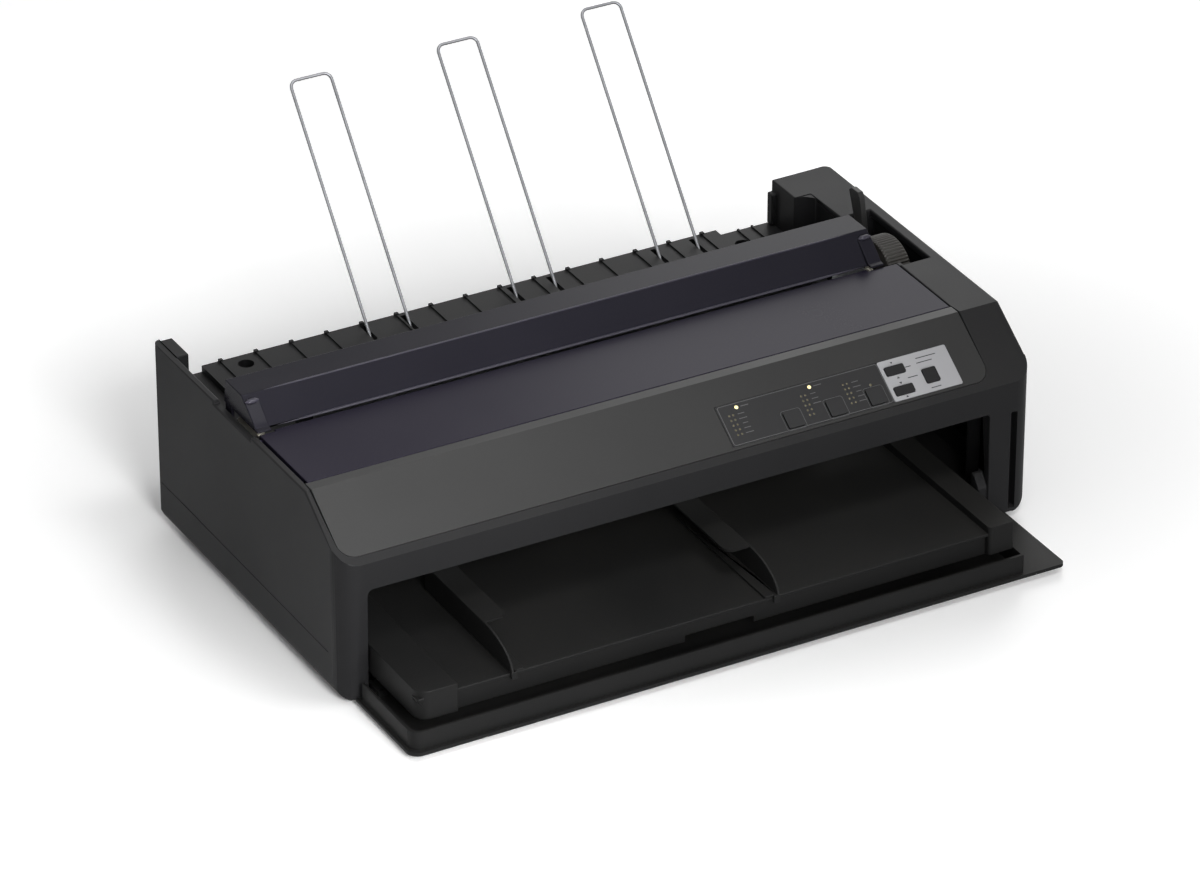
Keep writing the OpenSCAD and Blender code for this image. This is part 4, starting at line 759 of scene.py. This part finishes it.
@dataclass
class Case:
    """The case, the fascia, the rear deck, the feet and the screws."""

    edge: float = 1.2
    feet: tuple[tuple[float, float], ...] = ((34, 36), (576, 36), (34, 272), (576, 272))
    floor_screws: tuple[tuple[float, float], ...] = ((60, 90), (544, 90), (60, 260), (544, 260))
    well_screws: tuple[tuple[float, float], ...] = ((73.5, 306), (518, 298))
    well_z: float = 109.6

    def build(self) -> None:
        """Rounds the mouldings' edges, dresses them and sets the feet and screws."""
        softened("upper_case", Finish.CASE, self.edge, 3)
        softened("fascia_panel", Finish.FASCIA, 0.5)
        dress("rear_deck", Finish.CASE)
        dress("lower_case", Finish.CASE)
        # A foot has a rounded rim, a ring groove and a shallow dish in its sole
        foot = Surface.lathe(np.array([
            [8.6, 5.0], [9.0, 4.6], [9.0, 0.8], [8.7, 0.2], [8.1, 0.0], [6.6, 0.0], [6.3, 0.5], [5.6, 0.5],
            [5.3, 0.0], [3.2, 0.0], [1.5, 0.5], [0.2, 0.6]]) * MM)
        lay("moulded_feet", [foot.moved(at(x, y, -FOOT)) for x, y in self.feet], Finish.RUBBER,
            "rubber_feet", "rubber_feet")
        head = Surface.screw(3.8 * MM, 0.7 * MM, 1.0 * MM)
        shank = Surface.lathe(np.array([[2.0, 0.0], [2.0, 3.0]]) * MM, 16)
        under = [head.placed(turn("X", 180, at(x, y, 0.8))) for x, y in self.floor_screws]
        under += [shank.moved(at(x, y, 1.0)) for x, y in self.floor_screws]
        lay("floor_screws", under, Finish.STEEL, "case_screws", "case_screws")
        wells = [head.moved(at(x, y, self.well_z)) for x, y in self.well_screws]
        lay("well_screws", wells, Finish.STEEL, "rear_deck")


@dataclass
class Covers:
    """The smoked printer cover and the raised sheet guide cover."""

    bar_x: tuple[float, float] = (7.0, 561.0)
    tab: float = 12.0
    front: tuple[float, float] = (156.0, 157.6)
    ridge: tuple[float, float] = (177.2, 177.5)
    roll: tuple[float, float] = (171.0, 174.6)

    def strip(self, x0: float, x1: float, centre: tuple[float, float], r: float,
              flat: float = 1.0) -> Surface:
        """A bead along X, closed by small domes.

        Args:
            x0: Where it starts.
            x1: Where it ends.
            centre: Its place along Y and Z.
            r: Half its depth.
            flat: Its height, as a share of its depth.
        Returns:
            The bead.
        """
        t = np.linspace(-1, 1, 9)
        share = np.sqrt(np.clip(1 - np.clip(np.abs(t) * 9 - 8, 0, 1) ** 2, 0.02, 1))
        x = np.interp(t, [-1, -8 / 9, 8 / 9, 1], [x0, x0 + r, x1 - r, x1])
        a = np.linspace(0, 2 * math.pi, 16, endpoint=False)
        ring = np.stack([np.cos(a), flat * np.sin(a)], -1) * r
        along = np.broadcast_to(x[:, None, None], (9, 16, 1))
        p = np.concatenate([along, share[:, None, None] * ring[None]], -1)
        return Surface.grid(p * MM, close_v=True, caps=True).moved(at(0, *centre))

    def build(self) -> None:
        """Rounds both covers' edges and lays the bar's beads and the rolls of its two finger tabs, in a
        lighter tone that paints the highlight along the bar's edges.
        """
        softened("printer_cover", Finish.SMOKE, 0.6)
        softened("sheet_guide_cover", Finish.BAR, 0.7, 3)
        x0, x1 = self.bar_x
        inner = self.tab + 1
        lay("bar_beads", [self.strip(x0 + inner, x1 - inner, self.front, 1.1, 0.8),
                          self.strip(x0 + 0.6, x1 - 0.6, self.ridge, 0.75)], Finish.PAINTED_HIGHLIGHT, "sheet_guide_cover")
        lay("tab_rolls", [self.strip(x + 0.2, x + self.tab - 0.2, self.roll, 2.3, 0.8)
                          for x in (x0, x1 - self.tab)], Finish.PAINTED_HIGHLIGHT, "sheet_guide_cover")


@dataclass
class Supports:
    """The wire paper supports at the rear."""

    radius: float = 1.3
    lean: float = 39.0
    bend: float = 6.0
    pin: float = 7.0

    def path(self, low: Vector, high: Vector) -> np.ndarray:
        """Centre line of one support: up one leg, round two bends and down the other.

        Args:
            low: Lowest corner of the CAD node.
            high: Its highest corner.
        Returns:
            Points of shape (n, 3) in metres.
        """
        r, b, lean = self.radius * MM, self.bend * MM, math.radians(self.lean)
        mid, half = (low.x + high.x) / 2, (high.x - low.x) / 2 - r
        length = (high.z - low.z - 2 * r) / math.cos(lean)
        t = np.linspace(0, math.pi / 2, 9)
        up = np.linspace(0, length - b, 24)
        x = np.concatenate([np.full(24, -half), -half + b - b * np.cos(t), half - b + b * np.sin(t),
                            np.full(24, half)])
        s = np.concatenate([up, length - b + b * np.sin(t), length - b + b * np.cos(t), up[::-1]])
        return np.stack([mid + x, low.y + r + s * math.sin(lean), low.z + r + s * math.cos(lean)], -1)

    def build(self) -> None:
        """Makes the three supports, each with the pins at its feet."""
        r, lean = self.radius * MM, math.radians(self.lean)
        for node in ("wire_support_left", "wire_support_middle", "wire_support_right"):
            path = self.path(*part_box(node))
            parts = [Surface.tube(path, r, np.array([0, math.cos(lean), -math.sin(lean)]), 16)]
            for end, inward in ((path[0], 1), (path[-1], -1)):
                pin = np.array([end, end + [inward * self.pin * MM, 0, 0]])
                parts.append(Surface.tube(pin, r, np.array([0, 1.0, 0]), 12))
            lay(node + "_wire", parts, Finish.BRIGHT, node, node)


@dataclass
class Panel:
    """The control panel: film, plate, keys, lamps and generic marks."""

    film_x: tuple[float, float] = (342.0, 487.0)
    plate_x: float = 487.0
    low: float = 10.8
    height: float = 36.0
    lit: tuple[tuple[float, float], ...] = ((359.5, 42.3), (424.5, 42.3))
    columns: tuple[float, ...] = (350.5, 414.5, 452.0)
    rows: tuple[float, ...] = (19.8, 24.0, 28.2, 32.4, 36.6)
    soft_keys: tuple[float, ...] = (400.0, 438.0, 474.0)
    print_t: float = 0.06

    def frame_line(self, x: float, s: float, w: float, h: float, r: float, line: float) -> Surface:
        """A printed rounded rectangle about a point of the slope, drawn as a thin band.

        Args:
            x: Distance along the case.
            s: Distance up the slope.
            w: Width.
            h: Height.
            r: Radius of the corners.
            line: Width of the band.
        Returns:
            The band.
        """
        outer = rounded(w * MM, h * MM, r * MM, 5)
        inner = rounded((w - 2 * line) * MM, (h - 2 * line) * MM, max(r - line, 0.2) * MM, 5)
        return Surface.band(outer, inner, 0, self.print_t * MM).placed(slope_place(x, s))

    def printed(self, outline: np.ndarray, x: float, s: float) -> Surface:
        """A thin layer of print of any outline on a point of the slope."""
        return Surface.slab(outline, 0, self.print_t * MM, 0.02 * MM, 1).placed(slope_place(x, s))

    def dash(self, x: float, s: float, w: float, h: float) -> Surface:
        """A printed dash about a point of the slope."""
        return self.printed(rounded(w * MM, h * MM, h * 0.3 * MM, 2), x, s)

    def arrow(self, x: float, s: float, size: float, up: int) -> Surface:
        """A printed triangle that points up or down the slope."""
        tip = np.array([[-1, -0.6], [1, -0.6], [0, 0.9]]) * size * MM
        return self.printed(tip if up > 0 else tip[::-1] * [1, -1], x, s)

    def dome(self, x: float, s: float, r: float, rise: float) -> Surface:
        """A lens: a short barrel under a quarter ellipse of revolution.

        Args:
            x: Distance along the case.
            s: Distance up the slope.
            r: Its radius.
            rise: Its height.
        Returns:
            The lens.
        """
        t = np.linspace(0, math.pi / 2 * 0.98, 7)
        profile = np.stack([r * np.cos(t), rise * np.sin(t)], -1)
        profile = np.concatenate([[[r, -0.75]], profile]) * MM
        return Surface.lathe(profile, 20).placed(slope_place(x, s))

    def lamps(self) -> None:
        """Two lit lenses, and the small dark ones in three double columns and above the third key."""
        lay("lit_lenses", [self.dome(x, s, 1.5, 0.55) for x, s in self.lit], Finish.LIT, "lamp_lenses",
            "lamp_lenses")
        small = [(x + side, s, 0.9) for x in self.columns for s in self.rows for side in (0, 3.6)]
        small.append((self.soft_keys[2], 30.3, 1.2))
        lay("dim_lenses", [self.dome(x, s, r, 0.35) for x, s, r in small], Finish.DIM, "lamp_lenses")

    def film_print(self) -> None:
        """Faint outlines on the film: its own edge, each key's place and a dash beside each lamp."""
        x0, x1 = self.film_x
        mid = self.low + self.height / 2
        parts = [self.frame_line((x0 + x1) / 2 + 0.5, mid, x1 - x0 - 2, self.height - 1.4, 2.2, 0.5)]
        parts += [self.frame_line(x, 19.8, 17.6, 17.6, 2.4, 0.3) for x in self.soft_keys]
        for x, count in zip(self.columns, (5, 3, 5)):
            parts += [self.dash(x + 10.5, s, 7.0 - 1.2 * (k % 3), 0.6)
                      for k, s in enumerate(self.rows[-count:])]
        parts += [self.dash(x + 7, s, 7, 0.7) for x, s in self.lit]
        lay("film_print", parts, Finish.PALE_INK, "control_overlay")

    def plate_print(self) -> None:
        """Dark marks on the plate: triangles above and below the two bar keys, and dashes."""
        x0 = self.plate_x
        parts = [self.arrow(x0 + 12, s, size, up) for s, size, up in
                 ((30.0, 1.3, 1), (25.2, 1.3, -1), (12.9, 1.3, 1), (43.5, 1.1, -1))]
        parts += [self.dash(x0 + x, s, w, 0.7) for x, s, w in
                  ((24, 27.6, 9), (39, 37.5, 14), (42, 41.5, 18), (24, 36.8, 5), (39, 14.2, 9))]
        lay("plate_print", parts, Finish.INK, "selector_plate")

    def build(self) -> None:
        """Dresses the plates, rounds the keys and adds lamps and marks."""
        softened("control_overlay", Finish.GLOSS, 0.15, 1)
        softened("selector_plate", Finish.SILVER, 0.15, 1)
        dress("button_board", Finish.BOARD)
        for key in ("button_one", "button_two", "button_three"):
            softened(key, Finish.GLOSS, 0.45, 3)
        for key in ("selector_key_upper", "selector_key_lower", "selector_key_square"):
            softened(key, Finish.KEY, 0.5, 3)
        self.lamps()
        self.film_print()
        self.plate_print()


@dataclass
class Knob:
    """The platen's knob: a drum with fine flutes and a dished face."""

    flutes: int = 64
    depth: float = 1.0
    centre: tuple[float, float] = (178.0, 133.0)
    radius: float = 31.0
    x0: float = 568.0

    def build(self) -> None:
        """Turns the profile about X; the flutes cut depth * |sin(flutes * a / 2)| into the drum.

        The share of that cut is 1 along the drum and falls to 0 on its two rounded shoulders.
        """
        r = self.radius
        profile = np.array([
            [5.2, 0, 0], [r - 2.4, 0, 0], [r - 1.0, 0.5, 0.3], [r - 0.1, 1.6, 1], [r, 3.0, 1], [r, 9.0, 1],
            [r, 14.5, 1], [r, 18.0, 1], [r - 0.4, 19.2, 1], [r - 1.4, 20.2, 0.6], [r - 2.8, 21.2, 0.2],
            [r - 4.6, 21.9, 0], [r - 6.0, 21.6, 0], [r - 7.4, 20.6, 0], [r - 9.5, 20.2, 0], [14.0, 20.0, 0],
            [11.0, 20.3, 0], [9.6, 21.2, 0], [8.0, 21.8, 0], [4.0, 21.9, 0], [0.4, 21.9, 0]])
        a = np.linspace(0, 2 * math.pi, self.flutes * 8, endpoint=False)[None]
        radii = profile[:, :1] - self.depth * profile[:, 2:] * (1 - np.abs(np.sin(self.flutes * a / 2)))
        x = np.broadcast_to(profile[:, 1:2], radii.shape)
        p = np.stack([x, radii * np.cos(a), radii * np.sin(a)], -1) * MM
        drum = Surface.grid(p, close_v=True, caps=True).moved(at(self.x0, *self.centre))
        lay("fluted_platen_knob", [drum], Finish.KNOB, "platen_knob", "platen_knob")


@dataclass
class Mechanism:
    """Frames, platen, gears, carriage and tractors."""

    cartridge: tuple[float, float, float] = (113.0, 84.0, 136.0)

    def carriage_details(self) -> None:
        """A raised frame and two grips on the ribbon cartridge."""
        x, y, z = self.cartridge
        rim = Surface.band(rounded(0.146, 0.036, 0.003), rounded(0.143, 0.033, 0.002), 0, 0.0007)
        grips = [box_slab((1.2, 12, 0.9), (x + side * 66 + k * 2.4, y - 6, z - 0.1), 0.3)
                 for side in (-1, 1) for k in (-1, 0, 1)]
        lay("cartridge_rim", [rim.moved(at(x, y, z - 0.1))] + grips, Finish.BLACK, "ribbon_cartridge")

    def build(self) -> None:
        """Dresses the steel, the rubber and the nylon."""
        for node in ("side_frame_left", "side_frame_right", "base_pan", "carriage_rod", "carriage_rail",
                     "carriage_motor", "feed_motor", "tractor_rods", "feed_pinion", "print_head"):
            softened(node, Finish.STEEL, 0.25, 1)
        dress("platen_gear", Finish.NATURAL)
        for node in ("platen_bushes", "reduction_gear", "ribbon_knob", "motor_pulley", "idler_pulley"):
            softened(node, Finish.NATURAL, 0.2, 1)
        for node in ("platen", "timing_belt"):
            softened(node, Finish.RUBBER, 0.3, 1)
        for node in ("paper_chute", "print_carriage", "ribbon_cartridge", "tractor_left", "tractor_right",
                     "tractor_flap_left", "tractor_flap_right"):
            softened(node, Finish.BLACK, 0.4)
        softened("thickness_lever", Finish.BLUE, 0.4)
        softened("release_lever", Finish.FASCIA, 0.6, 3)
        self.carriage_details()


@dataclass
class Electrics:
    """The boards with their parts, and the sockets in the rear wall."""

    board: tuple[float, float, float] = (62.0, 190.0, 11.6)
    supply: tuple[float, float, float] = (353.4, 184.0, 12.0)
    port: tuple[float, float, float] = (82.0, 299.0, 25.0)
    chips: int = 5
    layers: int = 10
    pins: int = 18

    def can(self, x: float, y: float, z: float, r: float, h: float) -> tuple[Surface, Surface]:
        """A capacitor: a sleeve with a crimped neck, and the bright lid inside its rim.

        Args:
            x: Its place along X.
            y: Its place along Y.
            z: Height of its foot.
            r: Its radius.
            h: Its height.
        Returns:
            The sleeve and the lid.
        """
        sleeve = np.array([[r * 0.94, 0], [r, 0.5], [r, 1.6], [r * 0.9, 2.4], [r, 3.2], [r, h - 0.8],
                           [r * 0.96, h - 0.2], [r * 0.88, h], [r * 0.86, h - 0.5]]) * MM
        lid = np.array([[r * 0.87, h - 1.2], [r * 0.87, h - 0.45], [r * 0.3, h - 0.35],
                        [0.1, h - 0.35]]) * MM
        where = at(x, y, z)
        return Surface.lathe(sleeve, 32).moved(where), Surface.lathe(lid, 32).moved(where)

    def main_board(self) -> None:
        """Chips with their legs, and capacitors."""
        x0, y0, z = self.board
        chips, legs = [], []
        for i in range(self.chips):
            x = x0 + 24 + 44 * i
            chips.append(box_slab((22.4, 24.4, 2.7), (x - 0.2, y0 + 15.8, z - 0.1), 0.4))
            legs += [box_slab((1.0, 1.6, 1.2), (x + 1.5 + 2.3 * k, y, z - 0.1), 0.2)
                     for k in range(9) for y in (y0 + 14.3, y0 + 40.0)]
        sleeves, lids = zip(*[self.can(x0 + 40 + 34 * i, y0 + 66, z - 0.1, 7.15, 16.8) for i in range(3)])
        lay("board_chips", chips, Finish.INK, "main_board")
        lay("board_legs", legs + list(lids), Finish.STEEL, "main_board")
        lay("board_cans", list(sleeves), Finish.BLUE, "main_board")

    def power(self) -> None:
        """The transformer's stacked core with its winding, and two large capacitors."""
        x0, y0, z = self.supply
        core = []
        for k in range(self.layers):
            step = 0.3 * (k % 2)
            low = (x0 + 13.7, y0 + 9.7, z + 6 + 2.0 * k)
            core.append(box_slab((46.6 - step, 32.6 - step, 2.0), low, 0.2))
        lay("transformer_core", core, Finish.STEEL, "power_supply")
        winding = Surface.slab(rounded(0.0385, 0.0365, 0.006), 0, 0.0335, 0.0015)
        lay("transformer_winding", [winding.moved(at(x0 + 37, y0 + 26, z - 0.2))], Finish.TAPE,
            "power_supply")
        sleeves, lids = zip(*[self.can(x0 + 138, y0 + 20 + 26 * i, z - 0.1, 11.2, 28.4) for i in range(2)])
        lay("supply_cans", list(sleeves), Finish.INK, "power_supply")
        lay("supply_lids", list(lids), Finish.STEEL, "power_supply")

    def sockets(self) -> None:
        """The port's tongue with two rows of contacts, and its two wire clips."""
        x0, y, z = self.port
        tongue = box_slab((43.4, 8.0, 4.2), (x0 + 10.3, y - 3, z - 2.1), 0.4)
        lay("port_tongue", [tongue], Finish.BLACK, "parallel_port")
        pins = [box_slab((1.0, 6.5, 0.5), (x0 + 12 + 2.3 * k, y - 2, row), 0.1)
                for k in range(self.pins) for row in (z - 2.4, z + 1.9)]
        lay("port_contacts", pins, Finish.GOLD, "parallel_port")
        t = np.linspace(0, math.pi, 13)
        bow = np.stack([0 * t, 8 + 3.6 * np.sin(t), 5.0 * np.cos(t)], -1)
        clip = np.concatenate([[[0, 1.2, 5.0]], bow, [[0, 1.2, -5.0]]]) * MM
        clips = [Surface.tube(clip + at(x, y, z), 0.55 * MM, np.array([1.0, 0, 0]), 8)
                 for x in (x0 + 4.2, x0 + 59.8)]
        lay("port_clips", clips, Finish.BRIGHT, "parallel_port")

    def build(self) -> None:
        """Dresses the CAD nodes and adds the parts on them."""
        softened("main_board", Finish.BOARD, 0.3, 1)
        softened("power_supply", Finish.STEEL, 0.3, 1)
        softened("parallel_port", Finish.STEEL, 0.4, 2)
        softened("power_inlet", Finish.BLACK, 0.5, 2)
        softened("power_rocker", Finish.KEY, 0.6, 2)
        self.main_board()
        self.power()
        self.sockets()


@dataclass
class FrontGuides:
    """The sheet guide, its edge guides and the open front cover."""

    def build(self) -> None:
        """Rounds the mouldings' edges."""
        softened("front_sheet_guide", Finish.BLACK, 0.7, 3)
        softened("edge_guide_left", Finish.BLACK, 0.5)
        softened("edge_guide_right", Finish.BLACK, 0.5)
        softened("front_cover", Finish.BLACK, 0.8, 3)


@dataclass(frozen=True)
class Softbox:
    """A soft area light: its place, size (m), power (W), aim and spread (degrees)."""

    name: str
    where: tuple[float, float, float]
    size: tuple[float, float]
    power: float
    aim: tuple[float, float, float] = (0.0, 0.0, 0.1)
    spread: float = 180.0

    def build(self) -> None:
        """Adds the light."""
        data = bpy.data.lights.new(self.name, "AREA")
        data.shape = "RECTANGLE"
        data.size, data.size_y = self.size
        data.energy = self.power
        data.spread = math.radians(self.spread)
        obj = bpy.data.objects.new(self.name, data)
        bpy.context.scene.collection.objects.link(obj)
        obj.location = self.where
        obj.rotation_euler = (Vector(self.aim) - Vector(self.where)).to_track_quat("-Z", "Y").to_euler()


@dataclass
class Studio:
    """The floor, the lights and the camera."""

    yaw: float = 29.05
    pitch: float = 30.08
    roll: float = 0.0875
    lens: float = 198.4
    eye: tuple[float, float, float] = (-1873.2, -3769.0, 2665.8)
    floor_size: float = 12.0
    # The floor's glow to the camera near the printer and away from it, where it grows (m) and how it is
    # stretched; the weaker glow near the printer is a painted shadow round it
    glow: tuple[float, float] = (0.07, 0.57)
    painted_shade_span: tuple[float, float] = (0.27, 0.6)
    oval: tuple[float, float, float] = (0.8, 1.1, 1.0)
    ambient: float = 0.05
    lights: list[Softbox] = field(default_factory=lambda: [
        Softbox("overhead", (0.0, 0.0, 2.2), (1.6, 1.2), 5.0),
        Softbox("front_low", (0.2, -2.6, 0.8), (1.6, 0.8), 35.0),
        Softbox("front_left", (-0.5, -1.5, 0.9), (0.6, 0.5), 2.6, (-0.42, -0.2, 0.1), 50.0),
        Softbox("rear_right", (1.85, 2.0, 1.5), (1.4, 1.4), 17.0),
        Softbox("panel_sheen", (0.2, -0.45, 1.6), (0.5, 0.5), 3.2, (-0.25, -0.1, 0.1), 120.0)])

    def floor(self) -> None:
        """A pale floor that shows white to the camera far from the printer; near it the camera sees less
        glow, a painted shadow round the printer on top of the lamps' own shadows.
        """
        size = self.floor_size
        p = np.array([[[-size, -size, 0], [-size, size, 0]], [[size, -size, 0], [size, size, 0]]], float)
        mat, g, shader = new_material("pale_floor", 0xF0F0F0)
        where = g.where()
        g.wire(shader, Base_Color=g.mix(g.noise(where, 2.0, 2.0), srgb(0xF0F0F0), srgb(0xF4F4F4)))
        shader.inputs["Roughness"].default_value = 0.35
        shader.inputs["Specular IOR Level"].default_value = 0.3
        oval = g.node("ShaderNodeVectorMath", {"operation": "MULTIPLY"}, **{"0": where, "1": self.oval})
        away = g.node("ShaderNodeVectorMath", {"operation": "LENGTH"}, **{"0": oval.outputs[0]})
        # Painted shadow: the camera sees a weaker glow near the printer than away from it
        near, far = self.glow
        lift = g.math("ADD", g.math("MULTIPLY", g.ramp(away.outputs["Value"], *self.painted_shade_span), far - near), near)
        seen = g.node("ShaderNodeLightPath").outputs["Is Camera Ray"]
        glow = g.node("ShaderNodeEmission", Color=(1, 1, 1, 1), Strength=g.math("MULTIPLY", seen, lift))
        both = g.node("ShaderNodeAddShader", **{"0": shader.outputs[0], "1": glow.outputs[0]})
        g.wire(mat.node_tree.nodes["Material Output"], Surface=both.outputs[0])
        Surface.grid(p).build("floor", mat)

    def world(self) -> None:
        """A plain world: white to the camera and in reflections, softer as light."""
        world = bpy.data.worlds.new("studio")
        world.use_nodes = True
        bpy.context.scene.world = world
        g = Graph(world.node_tree)
        ray = g.node("ShaderNodeLightPath")
        seen = g.math("MAXIMUM", ray.outputs["Is Camera Ray"],
                      g.math("MAXIMUM", ray.outputs["Is Glossy Ray"], ray.outputs["Is Transmission Ray"]))
        strength = g.math("ADD", g.math("MULTIPLY", seen, 1 - self.ambient), self.ambient)
        g.wire(world.node_tree.nodes["Background"], Strength=strength, Color=(1, 1, 1, 1))

    def camera(self) -> None:
        """The camera at the photograph's own place."""
        data = bpy.data.cameras.new("camera")
        data.lens = self.lens
        data.sensor_width = 36
        data.clip_end = 50
        obj = bpy.data.objects.new("camera", data)
        bpy.context.scene.collection.objects.link(obj)
        aim = (Matrix.Rotation(math.radians(-self.yaw), 4, "Z") @
               Matrix.Rotation(math.radians(90 - self.pitch), 4, "X") @
               Matrix.Rotation(math.radians(self.roll), 4, "Z"))
        obj.matrix_world = Matrix.Translation(Vector(at(*self.eye))) @ aim
        bpy.context.scene.camera = obj

    def build(self) -> None:
        """Sets the stage."""
        bpy.context.scene.view_settings.view_transform = "Standard"
        self.floor()
        self.world()
        for light in self.lights:
            light.build()
        self.camera()


def main() -> None:
    """Builds every sub-assembly in turn."""
    logging.basicConfig(level=logging.INFO)
    for part in (Studio(), Case(), Covers(), Supports(), Panel(), Knob(), Mechanism(), Electrics(),
                 FrontGuides()):
        part.build()
        LOG.info("built %s", type(part).__name__)
    bpy.context.view_layer.update()


if __name__ == "__main__":
    main()
